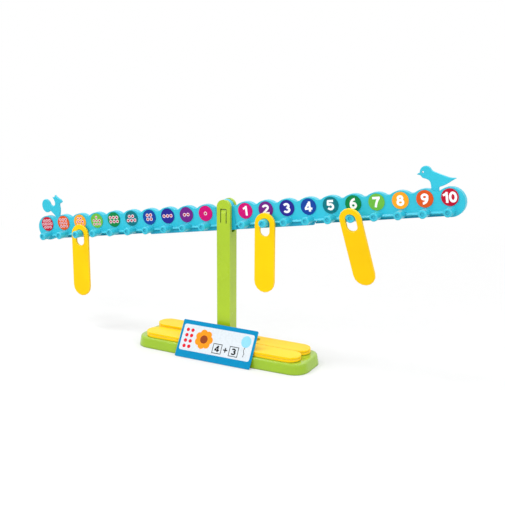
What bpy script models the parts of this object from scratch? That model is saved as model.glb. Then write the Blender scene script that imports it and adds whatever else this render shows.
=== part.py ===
"""Number balance: a toy beam scale that weighs numbers against each other.

The frame: X runs along the base to the right, Y runs away from the front, Z is up.
The origin is on the table, under the pivot. Everything is in metres.

The beam is drawn level in its own frame, with its origin on the pivot axis, and an
empty at the pivot tips it to the pose it rests in, left end down on its stop.
"""

import math

import bmesh
import bpy
from mathutils import Matrix, Vector

MM = 0.001

# Clearances
SEAT_GAP = 0.3 * MM  # between faces that rest on each other or slide past each other
CUT_PAST = 1.0 * MM  # how far a cutter runs past the face it opens

# Beam: ten places to each side of the pivot
PITCH = 26.5 * MM
PLACES = 10
BEAM_THICK = 6.6 * MM
FACE_SKIN = 2.0 * MM
ARM_WALL = 1.6 * MM
CREST_HEIGHT = 10.4 * MM  # scallop top above the number line
VALLEY_HEIGHT = 6.5 * MM  # flat between two scallops above the number line
SCALLOP_RADIUS = 18.0 * MM
END_RADIUS = 15.6 * MM
SHELF_DROP = 16.2 * MM  # underside of the arm's shelf below the number line
SHELF_THICK = 1.4 * MM
LIP_PROUD = 1.6 * MM
LIP_HEIGHT = 2.2 * MM  # at the face, where its sloping top begins
LIP_NOSE = 0.7 * MM  # height of its flat front
RAIL_DEPTH = 2.1 * MM
RAIL_THICK = 1.8 * MM
RAIL_SETBACK = 3.8 * MM
RIB_THICK = 1.2 * MM
RIB_SHORT = 0.7 * MM  # the ribs stop this far inside the open back

# Pegs that carry the weights
PEG_RADIUS = 4.6 * MM
PEG_LENGTH = 14.7 * MM
PEG_DROP = 14.1 * MM  # peg axis below the number line
PEG_DIMPLE_RADIUS = 2.3 * MM
PEG_DIMPLE_DEPTH = 1.2 * MM
PEG_CHAMFER = 0.6 * MM
PEG_ROOT = 1.2 * MM  # how deep the peg is moulded into the face skin

# Number and dot discs
DISC_RADIUS = 9.2 * MM
DISC_THICK = 0.4 * MM

# Centre piece that joins the arms and carries the trunnions
HUB_HALF = 12.0 * MM
HUMP_RADIUS = 9.5 * MM
HUMP_TOP = 14.5 * MM
BAR_REACH = 111.3 * MM
BAR_HEIGHT = 4.7 * MM
BAR_THICK = 4.1 * MM
BAR_SETBACK = 1.5 * MM
BAR_END_SLOPE = 3.0 * MM
TENON_REACH = 46.0 * MM
TENON_THICK = 2.6 * MM
STRAP_START = 18.0 * MM  # from the hub's side to the strap that holds the tenon
STRAP_WIDTH = 14.0 * MM
CATCH_LENGTH = 3.6 * MM
CATCH_PROUD = 1.0 * MM
TRUNNION_RADIUS = 2.2 * MM
TRUNNION_LENGTH = 2.2 * MM
TRUNNION_CLEARANCE = 0.35 * MM

# Post
PIVOT_HEIGHT = 173.0 * MM
REST_TILT = math.radians(9.0)
POST_WIDTH = 17.5 * MM
EAR_THICK = 4.1 * MM
FORK_CLEARANCE = 0.5 * MM
EAR_TOP = 15.0 * MM  # ear apex above the pivot axis
TONGUE_HALF = 3.1 * MM
TONGUE_SLIT = 1.0 * MM
TONGUE_TOP = 3.3 * MM  # tongue's free end above the pivot axis
TONGUE_ROOT = 12.4 * MM  # tongue's root below the pivot axis
TONGUE_RAMP = 1.2 * MM  # depth of the ramp on the tongue's outer face
TONGUE_RAMP_LENGTH = 4.6 * MM
LEAD_IN_DEPTH = 2.0 * MM
POST_SKIN = 2.4 * MM
POST_POCKETS = 5
POCKET_RIB = 1.6 * MM
POCKET_TOP_DROP = 32.0 * MM
POCKET_FOOT = 24.0 * MM
POCKET_DEPTH = 12.0 * MM
PLUG_WIDTH = 14.5 * MM
PLUG_DEPTH = 13.0 * MM
BARB_PROUD = 1.0 * MM
BARB_HEIGHT = 3.0 * MM

# Base
BASE_LENGTH = 226.0 * MM
BASE_DEPTH = 63.0 * MM
BASE_CORNER = 18.0 * MM
BASE_BOW = 1.2 * MM
DECK_HEIGHT = 12.4 * MM
DECK_THICK = 2.0 * MM
HULL_WALL = 2.0 * MM
HULL_DRAFT = 1.6 * MM
DECK_EDGE_RADIUS = 2.2 * MM
HULL_RIBS = 2
HULL_RIB = 1.5 * MM
HULL_RIB_FOOT = 3.0 * MM
HULL_RIB_STEP = 36.0 * MM
SOCKET_WALL = 1.6 * MM
SOCKET_FLOOR = 1.6 * MM
WINDOW_TOP = 6.2 * MM

# Weights
WEIGHT_LENGTH = 92.5 * MM
WEIGHT_WIDTH = 25.0 * MM
WEIGHT_THICK = 2.8 * MM
WEIGHT_EDGE = 0.4 * MM
HOLE_WIDTH = 12.2 * MM
HOLE_LENGTH = 20.6 * MM
HANG_GAP = 0.5 * MM  # from the arm's lip to the weight that is pushed back on its peg
TIP_HOLD = 1.8 * MM  # the held weight's middle plane, behind its peg's end
HELD_SWING = math.radians(10.0)  # how far the weight on 6 is held out to the right
HELD_LEAN = math.radians(15.0)  # how far its foot is held back
PILE_SPLIT = 1.4 * MM  # between the front and the back pile
PILE_TO_POST = 1.35 * MM  # between a pile's holed end and the post's side
FRONT_LAYERS = 2
LEFT_BACK_LAYERS = 3
RIGHT_BACK_LAYERS = 2

# Animal figures
FIGURE_THICK = 3.0 * MM
FIGURE_EDGE = 0.35 * MM
FIGURE_SETBACK = 2.3 * MM
PLUG_IN = 8.0 * MM  # how far a figure's foot reaches down into the beam
SOCKET_SKIN = 1.2 * MM
FIGURE_GRID = 1.0 * MM  # the unit that both figures' outlines are drawn in
BIRD_PLACE = 9.5
BIRD_FOOT = (-6.6 * FIGURE_GRID, 1.6 * FIGURE_GRID)
BIRD_HEAD = (-10.3 * FIGURE_GRID, 20.6 * FIGURE_GRID)
BIRD_HEAD_RADIUS = 6.5 * FIGURE_GRID
BIRD_EYE = (-13.5 * FIGURE_GRID, 21.0 * FIGURE_GRID)
BIRD_EYE_RADIUS = 1.15 * FIGURE_GRID
SQUIRREL_PLACE = -9.5
SQUIRREL_FOOT = (-0.5 * FIGURE_GRID, 5.6 * FIGURE_GRID)
SQUIRREL_TAIL = (-12.6 * FIGURE_GRID, 16.6 * FIGURE_GRID)
SQUIRREL_TAIL_SIZE = (6.9 * FIGURE_GRID, 8.6 * FIGURE_GRID)

# Question card that leans on the stored weights
CARD_WIDTH = 100.0 * MM
CARD_HEIGHT = 45.5 * MM
CARD_THICK = 0.8 * MM
CARD_LEAN = math.radians(31.0)
CARD_CORNER = 1.5 * MM

# Facets
ROUND_STEPS = 16
SCALLOP_STEPS = 7
DISC_STEPS = 20
CORNER_STEPS = 8
SIDE_STEPS = 6
EDGE_STEPS = 3
SHARP_ANGLE = 35.0  # degrees: edges sharper than this stay sharp when a piece is shaded
SOFTEN_ANGLE = 50.0  # degrees: edges sharper than this are rounded on the weights
FIGURE_SOFTEN_ANGLE = 60.0  # degrees: the same on the figures

# Colours, linear RGB
LIME = (0.46, 0.70, 0.03)
SKY = (0.045, 0.55, 0.74)
YELLOW = (1.0, 0.66, 0.0)
CARD_BLUE = (0.0, 0.28, 0.62)
DISC_COLOURS = (
    (0.78, 0.0, 0.21), (0.16, 0.013, 0.22), (0.017, 0.017, 0.26), (0.007, 0.06, 0.38), (0.0, 0.2, 0.24),
    (0.0, 0.22, 0.05), (0.17, 0.52, 0.05), (0.96, 0.38, 0.013), (0.83, 0.11, 0.01), (0.51, 0.003, 0.026),
)

# Derived places
BEAM_FRONT = -BEAM_THICK / 2
BEAM_BACK = BEAM_THICK / 2
FORK_HALF = BEAM_THICK / 2 + FORK_CLEARANCE
POST_HALF_DEPTH = FORK_HALF + EAR_THICK
BAR_TOP = -SHELF_DROP - SEAT_GAP
BAR_BOTTOM = BAR_TOP - BAR_HEIGHT
POST_HALF = POST_WIDTH / 2
FORK_DROP = (-BAR_BOTTOM + SEAT_GAP) / math.cos(REST_TILT) + POST_HALF * math.tan(REST_TILT)
TENON_FRONT = BEAM_FRONT + FACE_SKIN + SEAT_GAP
TENON_BACK = TENON_FRONT + TENON_THICK
FIGURE_FRONT = BEAM_FRONT + FIGURE_SETBACK
FIGURE_BACK = FIGURE_FRONT + FIGURE_THICK
LAYER = WEIGHT_THICK + SEAT_GAP
HOLE_CENTRE = PEG_RADIUS + SEAT_GAP - HOLE_WIDTH / 2  # hole's round top's centre above a hung plate's origin
PLATE_TOP = HOLE_CENTRE + WEIGHT_WIDTH / 2
PILE_Y = (WEIGHT_WIDTH + PILE_SPLIT) / 2

# Middle plane of a hung plate, from the beam's face: pushed back, clear of the post's front, at the peg's tip
HANG_NEAR = LIP_PROUD + HANG_GAP + WEIGHT_THICK / 2
HANG_CLEAR = POST_HALF_DEPTH + SEAT_GAP + WEIGHT_THICK / 2 - BEAM_THICK / 2
HANG_TIP = PEG_LENGTH - TIP_HOLD
PLUG_FOOT = SOCKET_FLOOR + SEAT_GAP
BARB_TOP = WINDOW_TOP - SEAT_GAP
BARB_HALF_DEPTH = PLUG_DEPTH / 4


def clear_scene():
    """Remove every object, so that the model is built in an empty scene."""
    for item in list(bpy.data.objects):
        bpy.data.objects.remove(item, do_unlink=True)


def plastic(name, colour, roughness=0.3):
    """Make one moulded or printed surface."""
    material = bpy.data.materials.new(name)
    material.use_nodes = True
    shader = material.node_tree.nodes["Principled BSDF"]
    shader.inputs["Base Color"].default_value = (*colour, 1.0)
    shader.inputs["Roughness"].default_value = roughness
    shader.inputs["Metallic"].default_value = 0.0
    return material


def add_object(name, mesh, material=None, parent=None, place=(0.0, 0.0, 0.0)):
    """Link a mesh to the scene as one named object."""
    item = bpy.data.objects.new(name, mesh)
    bpy.context.scene.collection.objects.link(item)
    item.location = place
    item.parent = parent
    if material is not None:
        mesh.materials.clear()
        mesh.materials.append(material)
    return item


def mesh_from(bm, name):
    """Turn a bmesh into a mesh with outward normals."""
    bmesh.ops.recalc_face_normals(bm, faces=bm.faces)
    mesh = bpy.data.meshes.new(name)
    bm.to_mesh(mesh)
    bm.free()
    return mesh


def shade(item):
    """Shade the round faces smooth and keep the real edges sharp."""
    item.data.shade_smooth()
    item.data.set_sharp_from_angle(angle=math.radians(SHARP_ANGLE))


def prism(bm, outline, front, back):
    """Extrude a closed outline of (x, z) points from y = front to y = back."""
    near = [bm.verts.new((x, front, z)) for x, z in outline]
    far = [bm.verts.new((x, back, z)) for x, z in outline]
    bm.faces.new(near)
    bm.faces.new(list(reversed(far)))
    count = len(outline)
    for index in range(count):
        after = (index + 1) % count
        bm.faces.new((near[index], far[index], far[after], near[after]))


def box(bm, low, high):
    """Add a box from its lowest to its highest corner."""
    outline = [(low[0], low[2]), (high[0], low[2]), (high[0], high[2]), (low[0], high[2])]
    prism(bm, outline, low[1], high[1])


def bar(bm, start, end, corners):
    """Extrude a closed outline of (y, z) corners from x = start to x = end."""
    left = [bm.verts.new((start, y, z)) for y, z in corners]
    right = [bm.verts.new((end, y, z)) for y, z in corners]
    bm.faces.new(left)
    bm.faces.new(right)
    for index in range(len(corners)):
        after = (index + 1) % len(corners)
        bm.faces.new((left[index], left[after], right[after], right[index]))


def arc(centre, radius, start, end, steps):
    """Points on an arc in the x-z plane, angles in degrees, both ends included."""
    points = []
    for step in range(steps + 1):
        angle = math.radians(start + (end - start) * step / steps)
        points.append((centre[0] + radius * math.cos(angle), centre[1] + radius * math.sin(angle)))
    return points


def flowing(points, steps=3):
    """Points on a smooth curve through a few given points, ends included."""
    path = [points[0]] + list(points) + [points[-1]]
    result = [points[0]]
    for index in range(1, len(path) - 2):
        before, start, end, after = (Vector(point) for point in path[index - 1:index + 3])
        for step in range(1, steps + 1):
            t = step / steps
            spot = 0.5 * (
                2 * start
                + (end - before) * t
                + (2 * before - 5 * start + 4 * end - after) * t * t
                + (3 * start - before - 3 * end + after) * t ** 3
            )
            result.append((spot.x, spot.y))
    return result


def lathe(bm, profile, steps, place):
    """Turn a closed profile of (radius, y) points about an axis along Y."""
    rings = []
    for radius, y in profile:
        if radius == 0.0:
            rings.append([bm.verts.new((place[0], y, place[1]))])
            continue
        ring = []
        for step in range(steps):
            angle = 2 * math.pi * step / steps
            x = place[0] + radius * math.cos(angle)
            ring.append(bm.verts.new((x, y, place[1] + radius * math.sin(angle))))
        rings.append(ring)
    for lower, upper in zip(rings, rings[1:]):
        for step in range(steps):
            after = (step + 1) % steps
            corners = [lower[step % len(lower)], lower[after % len(lower)]]
            corners += [upper[after % len(upper)], upper[step % len(upper)]]
            bm.faces.new(list(dict.fromkeys(corners)))


def cutter(name, bm, parent=None):
    """Make a hidden cutter or filler for a Boolean."""
    item = add_object(name, mesh_from(bm, name), parent=parent)
    item.hide_render = True
    item.display_type = "WIRE"
    return item


def boolean(item, tool, operation):
    """Cut or join with the exact solver."""
    step = item.modifiers.new(tool.name, "BOOLEAN")
    step.operation = operation
    step.object = tool
    step.solver = "EXACT"


def soften(item, width, angle):
    """Break the real edges of a piece with a narrow flat, where they turn by more than the angle."""
    step = item.modifiers.new("soft edges", "BEVEL")
    step.width = width
    step.segments = 1
    step.limit_method = "ANGLE"
    step.angle_limit = math.radians(angle)


def top_edge(inset, start, end):
    """The scalloped top of an arm from x = start to x = end, moved inwards by inset."""
    radius = SCALLOP_RADIUS - inset
    rise = VALLEY_HEIGHT - inset - (CREST_HEIGHT - SCALLOP_RADIUS)
    half = math.sqrt(radius ** 2 - rise ** 2)
    stations = [start]
    for place in range(1, PLACES + 1):
        centre = place * PITCH
        right = 0.0 if place == PLACES else half
        for step in range(SCALLOP_STEPS + 1):
            x = centre - half + (half + right) * step / SCALLOP_STEPS
            if start < x < end:
                stations.append(x)
    stations.append(end)
    return [(x, top_height(inset, x)) for x in stations]


def top_height(inset, x):
    """Height of the scalloped top at x, moved inwards by inset."""
    radius = SCALLOP_RADIUS - inset
    place = min(PLACES, max(1, round(x / PITCH)))
    reach = radius ** 2 - (x - place * PITCH) ** 2
    scallop = CREST_HEIGHT - SCALLOP_RADIUS + math.sqrt(max(reach, 0.0))
    return max(VALLEY_HEIGHT - inset, scallop)


def end_arc(inset, low):
    """The half-round end of an arm from its crest down and round to the height low."""
    centre = (PLACES * PITCH, CREST_HEIGHT - END_RADIUS)
    radius = END_RADIUS - inset
    finish = -180.0 - math.degrees(math.asin((low - centre[1]) / radius))
    return arc(centre, radius, 90.0, finish, ROUND_STEPS)


def arm_outline():
    """Outline of an arm's face: scallops, half-round end and straight lower edge."""
    start = HUB_HALF + SEAT_GAP
    end = PLACES * PITCH
    outline = top_edge(0.0, start, end)[:-1] + end_arc(0.0, -SHELF_DROP)
    return outline + [(start, -SHELF_DROP)]


def pocket(start, end):
    """Outline of one hollow behind the face, between two ribs."""
    floor = -SHELF_DROP + SHELF_THICK
    if end > PLACES * PITCH:
        top = top_edge(ARM_WALL, start, PLACES * PITCH)[:-1]
        return top + end_arc(ARM_WALL, floor) + [(start, floor)]
    return top_edge(ARM_WALL, start, end) + [(end, floor), (start, floor)]


def rib_places():
    """Where the ribs stand: between the numbers, past the tenon and short of the figure's socket."""
    first = math.ceil((HUB_HALF + TENON_REACH) / PITCH - 0.5)
    return [(place + 0.5) * PITCH for place in range(first, PLACES - 1)]


def mirrored(bm, side):
    """Turn a right arm's shape into the left arm's when side is -1."""
    if side < 0:
        bmesh.ops.scale(bm, vec=(-1.0, 1.0, 1.0), verts=bm.verts)
    return bm


def arm_hollows():
    """The hollows behind the face, one between each two ribs."""
    bm = bmesh.new()
    edges = [HUB_HALF - CUT_PAST]
    for place in rib_places():
        edges += [place - RIB_THICK / 2, place + RIB_THICK / 2]
    edges.append((PLACES + 1) * PITCH)
    for start, end in zip(edges[::2], edges[1::2]):
        prism(bm, pocket(start, end), BEAM_FRONT + FACE_SKIN, BEAM_BACK + CUT_PAST)
    return bm


def rib_backs():
    """What is cut off the ribs' back edges, so that they stop inside the open back."""
    bm = bmesh.new()
    half = RIB_THICK / 2 + CUT_PAST / 2
    for place in rib_places():
        low = (place - half, BEAM_BACK - RIB_SHORT, -SHELF_DROP + SHELF_THICK)
        box(bm, low, (place + half, BEAM_BACK + CUT_PAST, VALLEY_HEIGHT - ARM_WALL))
    return bm


def arm_pegs():
    """The ten pegs of an arm, each with a chamfered end and a shallow dimple in it."""
    bm = bmesh.new()
    root = BEAM_FRONT + PEG_ROOT
    front = BEAM_FRONT - PEG_LENGTH
    dimple = front + PEG_DIMPLE_DEPTH
    profile = [
        (0.0, root), (PEG_RADIUS, root), (PEG_RADIUS, front + PEG_CHAMFER), (PEG_RADIUS - PEG_CHAMFER, front),
        (PEG_DIMPLE_RADIUS, front), (PEG_DIMPLE_RADIUS, dimple), (0.0, dimple),
    ]
    for place in range(1, PLACES + 1):
        lathe(bm, profile, ROUND_STEPS, (place * PITCH, -PEG_DROP))
    return bm


def lip_and_rail():
    """The lip along the face's lower edge and the rail under the shelf, past the centre piece's bar."""
    bm = bmesh.new()
    last = PLACES * PITCH
    root = BEAM_FRONT + FACE_SKIN / 4
    nose = BEAM_FRONT - LIP_PROUD
    corners = [(root, -SHELF_DROP), (nose, -SHELF_DROP), (nose, -SHELF_DROP + LIP_NOSE)]
    corners += [(BEAM_FRONT, -SHELF_DROP + LIP_HEIGHT), (root, -SHELF_DROP + LIP_HEIGHT)]
    bar(bm, HUB_HALF + SEAT_GAP, last, corners)
    back = BEAM_FRONT + RAIL_SETBACK
    low = (BAR_REACH + SEAT_GAP, back, -SHELF_DROP - RAIL_DEPTH)
    box(bm, low, (last - END_RADIUS / 2, back + RAIL_THICK, -SHELF_DROP + SHELF_THICK / 2))
    return bm


def tenon_strap():
    """The strap across the arm's open back that holds the centre piece's tenon."""
    bm = bmesh.new()
    start = HUB_HALF + STRAP_START
    low = (start, TENON_BACK + SEAT_GAP, -SHELF_DROP + SHELF_THICK / 2)
    box(bm, low, (start + STRAP_WIDTH, BEAM_BACK - SEAT_GAP, VALLEY_HEIGHT - ARM_WALL / 2))
    return bm


def arm(name, side, foot, material, parent):
    """One arm: an open-backed shell with ribs, ten pegs, a lip, a rail and a figure's socket."""
    bm = bmesh.new()
    prism(bm, arm_outline(), BEAM_FRONT, BEAM_BACK)
    item = add_object(name, mesh_from(mirrored(bm, side), name), material, parent)
    steps = (
        ("hollows", arm_hollows(), "DIFFERENCE"),
        ("rib_backs", rib_backs(), "DIFFERENCE"),
        ("pegs", arm_pegs(), "UNION"),
        ("lip_and_rail", lip_and_rail(), "UNION"),
        ("strap", tenon_strap(), "UNION"),
    )
    for label, shape, operation in steps:
        boolean(item, cutter(name + "_" + label, mirrored(shape, side), parent), operation)
    figure_socket(item, foot, parent)
    shade(item)
    return item


def figure_socket(item, foot, parent):
    """A slot through the arm's top edge with a sleeve behind it for a figure's foot."""
    left = foot[0] - SEAT_GAP
    right = foot[1] + SEAT_GAP
    bottom = VALLEY_HEIGHT - PLUG_IN - SEAT_GAP
    bm = bmesh.new()
    low = (left - SOCKET_SKIN, BEAM_FRONT + FACE_SKIN / 2, bottom - SOCKET_SKIN)
    box(bm, low, (right + SOCKET_SKIN, BEAM_BACK - RIB_SHORT / 2, VALLEY_HEIGHT - ARM_WALL / 2))
    boolean(item, cutter(item.name + "_sleeve", bm, parent), "UNION")
    bm = bmesh.new()
    box(bm, (left, FIGURE_FRONT - SEAT_GAP, bottom), (right, FIGURE_BACK + SEAT_GAP, CREST_HEIGHT + CUT_PAST))
    boolean(item, cutter(item.name + "_slot", bm, parent), "DIFFERENCE")


def beam_centre(material, parent):
    """The hub with its trunnions, two tenons and the long bar under the arms."""
    hump = (0.0, HUMP_TOP - HUMP_RADIUS)
    rise = math.degrees(math.asin((VALLEY_HEIGHT - hump[1]) / HUMP_RADIUS))
    outline = [(-HUB_HALF, BAR_BOTTOM), (-HUB_HALF, VALLEY_HEIGHT)]
    outline += arc(hump, HUMP_RADIUS, 180.0 - rise, rise, ROUND_STEPS)
    outline += [(HUB_HALF, VALLEY_HEIGHT), (HUB_HALF, BAR_BOTTOM)]
    bm = bmesh.new()
    prism(bm, outline, BEAM_FRONT, BEAM_BACK)
    item = add_object("beam_centre", mesh_from(bm, "beam_centre"), material, parent)

    bm = bmesh.new()
    under = [(-BAR_REACH, BAR_TOP), (BAR_REACH, BAR_TOP), (BAR_REACH - BAR_END_SLOPE, BAR_BOTTOM)]
    under.append((-BAR_REACH + BAR_END_SLOPE, BAR_BOTTOM))
    prism(bm, under, BEAM_FRONT + BAR_SETBACK, BEAM_FRONT + BAR_SETBACK + BAR_THICK)
    boolean(item, cutter("centre_bar", bm, parent), "UNION")

    bm = bmesh.new()
    reach = HUB_HALF + TENON_REACH
    low = -SHELF_DROP + SHELF_THICK + SEAT_GAP
    high = VALLEY_HEIGHT - ARM_WALL - SEAT_GAP
    box(bm, (-reach, TENON_FRONT, low), (reach, TENON_BACK, high))
    boolean(item, cutter("centre_tenons", bm, parent), "UNION")

    bm = bmesh.new()
    catch = HUB_HALF + STRAP_START + STRAP_WIDTH + SEAT_GAP
    middle = (low + high) / 2
    for side in (-1, 1):
        ramp = [(side * catch, TENON_BACK - CATCH_PROUD / 2), (side * catch, TENON_BACK + CATCH_PROUD)]
        ramp.append((side * (catch + CATCH_LENGTH), TENON_BACK - CATCH_PROUD / 2))
        lower = [bm.verts.new((x, y, middle - CATCH_LENGTH)) for x, y in ramp]
        upper = [bm.verts.new((x, y, middle + CATCH_LENGTH)) for x, y in ramp]
        bm.faces.new(lower)
        bm.faces.new(upper)
        for index in range(3):
            after = (index + 1) % 3
            bm.faces.new((lower[index], lower[after], upper[after], upper[index]))
    boolean(item, cutter("centre_catches", bm, parent), "UNION")

    bm = bmesh.new()
    reach = BEAM_BACK + TRUNNION_LENGTH
    profile = [(0.0, -reach), (TRUNNION_RADIUS, -reach), (TRUNNION_RADIUS, reach), (0.0, reach)]
    lathe(bm, profile, ROUND_STEPS, (0.0, 0.0))
    boolean(item, cutter("centre_trunnions", bm, parent), "UNION")
    shade(item)
    return item


def place_disc(name, place, material, mesh, parent):
    """One printed disc on the beam's face, above its peg."""
    item = add_object(name, mesh.copy(), material, parent, (place * PITCH, 0.0, 0.0))
    shade(item)
    return item


def disc_mesh():
    """The thin round disc that all the places share."""
    bm = bmesh.new()
    back = BEAM_FRONT - SEAT_GAP
    front = back - DISC_THICK
    lathe(bm, [(0.0, front), (DISC_RADIUS, front), (DISC_RADIUS, back), (0.0, back)], DISC_STEPS, (0.0, 0.0))
    return mesh_from(bm, "disc")


def figure(name, place, outline, material, parent):
    """One flat animal figure, plugged into the beam's top edge."""
    bm = bmesh.new()
    prism(bm, outline, FIGURE_FRONT, FIGURE_BACK)
    item = add_object(name, mesh_from(bm, name), material, parent, (place * PITCH, 0.0, VALLEY_HEIGHT))
    soften(item, FIGURE_EDGE, FIGURE_SOFTEN_ANGLE)
    return item


def drawn(points):
    """Outline points of a figure in metres."""
    return [(x * FIGURE_GRID, z * FIGURE_GRID) for x, z in points]


def bird_outline():
    """A bird that faces the pivot, with its tail up and a stem down into the beam."""
    throat = flowing([(-6.6, 1.0), (-6.3, 6.8), (-7.3, 11.2), (-10.6, 13.6), (-14.5, 15.0)], 3)
    beak = [(-16.3, 17.7), (-20.4, 19.2)]
    crown = arc(BIRD_HEAD, BIRD_HEAD_RADIUS, 178.0, 42.0, CORNER_STEPS)
    back = flowing([(-4.4, 22.9), (-2.6, 20.9), (4.2, 17.5), (14.3, 13.1), (20.7, 12.3)], 3)
    belly = flowing([(20.4, 11.5), (16.2, 9.6), (10.7, 6.8), (6.4, 5.2), (2.6, 4.4)], 2)
    outline = drawn(throat + beak) + crown + drawn(back + belly)
    return outline + [(BIRD_FOOT[1], 3.0 * FIGURE_GRID), (BIRD_FOOT[1], -PLUG_IN), (BIRD_FOOT[0], -PLUG_IN)]


def squirrel_outline():
    """A squirrel that faces the pivot, with a round tail behind it and a stem into the beam."""
    lower_back = flowing([(-0.5, 1.2), (-1.2, 3.2), (-3.4, 5.8), (-6.6, 9.2)], 2)
    nape = flowing([(-5.3, 17.4), (-3.2, 16.0), (-0.7, 15.5), (1.6, 17.4), (2.0, 20.2), (1.3, 23.4)], 2)
    ears = [(-0.6, 27.3), (2.6, 26.3), (4.1, 29.6)]
    face = flowing([(5.6, 27.6), (8.2, 25.3), (11.9, 22.9), (13.3, 20.3), (12.4, 19.0)], 2)
    chest = flowing([(8.9, 17.9), (8.2, 14.8), (8.4, 11.6), (7.1, 5.6), (5.6, 2.8)], 2)
    width, height = SQUIRREL_TAIL_SIZE
    tail = []
    for x, z in arc((0.0, 0.0), 1.0, -44.0, -348.0, ROUND_STEPS):
        tail.append((SQUIRREL_TAIL[0] + width * x, SQUIRREL_TAIL[1] + height * z))
    outline = drawn(lower_back) + tail + drawn(nape + ears + face + chest)
    return outline + [(SQUIRREL_FOOT[1], -PLUG_IN), (SQUIRREL_FOOT[0], -PLUG_IN)]


def add_eye(item, parent):
    """Drill the small round eye through the bird's head."""
    bm = bmesh.new()
    front = FIGURE_FRONT - CUT_PAST
    back = FIGURE_BACK + CUT_PAST
    profile = [(0.0, front), (BIRD_EYE_RADIUS, front), (BIRD_EYE_RADIUS, back), (0.0, back)]
    lathe(bm, profile, CORNER_STEPS, BIRD_EYE)
    drill = cutter(item.name + "_eye", bm, parent)
    drill.location = item.location
    boolean(item, drill, "DIFFERENCE")
    item.modifiers.move(len(item.modifiers) - 1, 0)


def weight_mesh():
    """A flat stadium plate with a long hole, its origin on the axis of the peg it hangs from."""
    outer = stadium(WEIGHT_WIDTH / 2, HOLE_CENTRE, HOLE_CENTRE - (WEIGHT_LENGTH - WEIGHT_WIDTH))
    hole = stadium(HOLE_WIDTH / 2, HOLE_CENTRE, HOLE_CENTRE - (HOLE_LENGTH - HOLE_WIDTH))
    bm = bmesh.new()
    loops = []
    for outline, y in ((outer, -1), (outer, 1), (hole, 1), (hole, -1)):
        loops.append([bm.verts.new((x, y * WEIGHT_THICK / 2, z)) for x, z in outline])
    count = len(outer)
    for loop, beside in zip(loops, loops[1:] + loops[:1]):
        for index in range(count):
            after = (index + 1) % count
            bm.faces.new((loop[index], loop[after], beside[after], beside[index]))
    return mesh_from(bm, "weight")


def stadium(radius, top, bottom):
    """A long round-ended outline between two centres on the z axis."""
    upper = arc((0.0, top), radius, 0.0, 180.0, CORNER_STEPS)
    return upper + arc((0.0, bottom), radius, 180.0, 360.0, CORNER_STEPS)


def weight(name, mesh, material, parent=None):
    """One weight plate with softened edges."""
    item = add_object(name, mesh.copy(), material, parent)
    soften(item, WEIGHT_EDGE, SOFTEN_ANGLE)
    shade(item)
    return item


def hung_weight(place, offset, mesh, material, swing=0.0, lean=0.0):
    """One weight on a peg, plumb whatever the beam's tilt is, unless it is held aside."""
    side = "left" if place < 0 else "right"
    item = weight("hung_weight_%s_%d" % (side, abs(place)), mesh, material)
    spot = Matrix.Rotation(-REST_TILT, 4, "Y") @ Vector((place * PITCH, BEAM_FRONT - offset, -PEG_DROP))
    rest = PEG_RADIUS + SEAT_GAP
    lift = (rest + WEIGHT_THICK / 2 * math.sin(lean)) / math.cos(lean) - rest
    turn = Matrix.Rotation(-swing, 4, "Y") @ Matrix.Rotation(lean, 4, "X")
    item.data.transform(turn @ Matrix.Translation((0.0, 0.0, lift)))
    item.location = spot + Vector((0.0, 0.0, PIVOT_HEIGHT))


def stored_weights(mesh, material):
    """The weights that lie on the deck in four piles, their holed ends towards the post."""
    piles = (
        ("left_front", -1, -1, FRONT_LAYERS), ("left_back", -1, 1, LEFT_BACK_LAYERS),
        ("right_front", 1, -1, FRONT_LAYERS), ("right_back", 1, 1, RIGHT_BACK_LAYERS),
    )
    reach = POST_HALF + PILE_TO_POST + PLATE_TOP
    for pile, along, across, layers in piles:
        for layer in range(layers):
            item = weight("stored_weight_%s_%d" % (pile, layer + 1), mesh, material)
            height = DECK_HEIGHT + SEAT_GAP + layer * LAYER + WEIGHT_THICK / 2
            item.location = (along * reach, across * PILE_Y, height)
            item.rotation_euler = (math.radians(90.0), 0.0, math.radians(-90.0 * along))


def post(material):
    """The upright: a fork with two snap tongues on top, a ribbed back and a barbed plug below."""
    shoulder = DECK_HEIGHT + SEAT_GAP
    ear_centre = PIVOT_HEIGHT + EAR_TOP - POST_HALF
    outline = [(-POST_HALF, shoulder)] + arc((0.0, ear_centre), POST_HALF, 180.0, 0.0, ROUND_STEPS)
    outline.append((POST_HALF, shoulder))
    bm = bmesh.new()
    prism(bm, outline, -POST_HALF_DEPTH, POST_HALF_DEPTH)
    item = add_object("post", mesh_from(bm, "post"), material)
    boolean(item, cutter("post_plug", post_plug()), "UNION")
    boolean(item, cutter("post_barbs", post_barbs()), "UNION")
    boolean(item, cutter("post_slot", post_slot()), "DIFFERENCE")
    boolean(item, cutter("post_seats", trunnion_seats()), "DIFFERENCE")
    boolean(item, cutter("post_tongue_slits", tongue_slits()), "DIFFERENCE")
    boolean(item, cutter("post_tongue_ramps", tongue_ramps()), "DIFFERENCE")
    boolean(item, cutter("post_lead_ins", lead_ins()), "DIFFERENCE")
    boolean(item, cutter("post_back_pockets", back_pockets()), "DIFFERENCE")
    shade(item)
    return item


def post_plug():
    """The plug below the post's shoulder that fills the base's socket."""
    bm = bmesh.new()
    high = DECK_HEIGHT + SEAT_GAP + CUT_PAST
    box(bm, (-PLUG_WIDTH / 2, -PLUG_DEPTH / 2, PLUG_FOOT), (PLUG_WIDTH / 2, PLUG_DEPTH / 2, high))
    return bm


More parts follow.
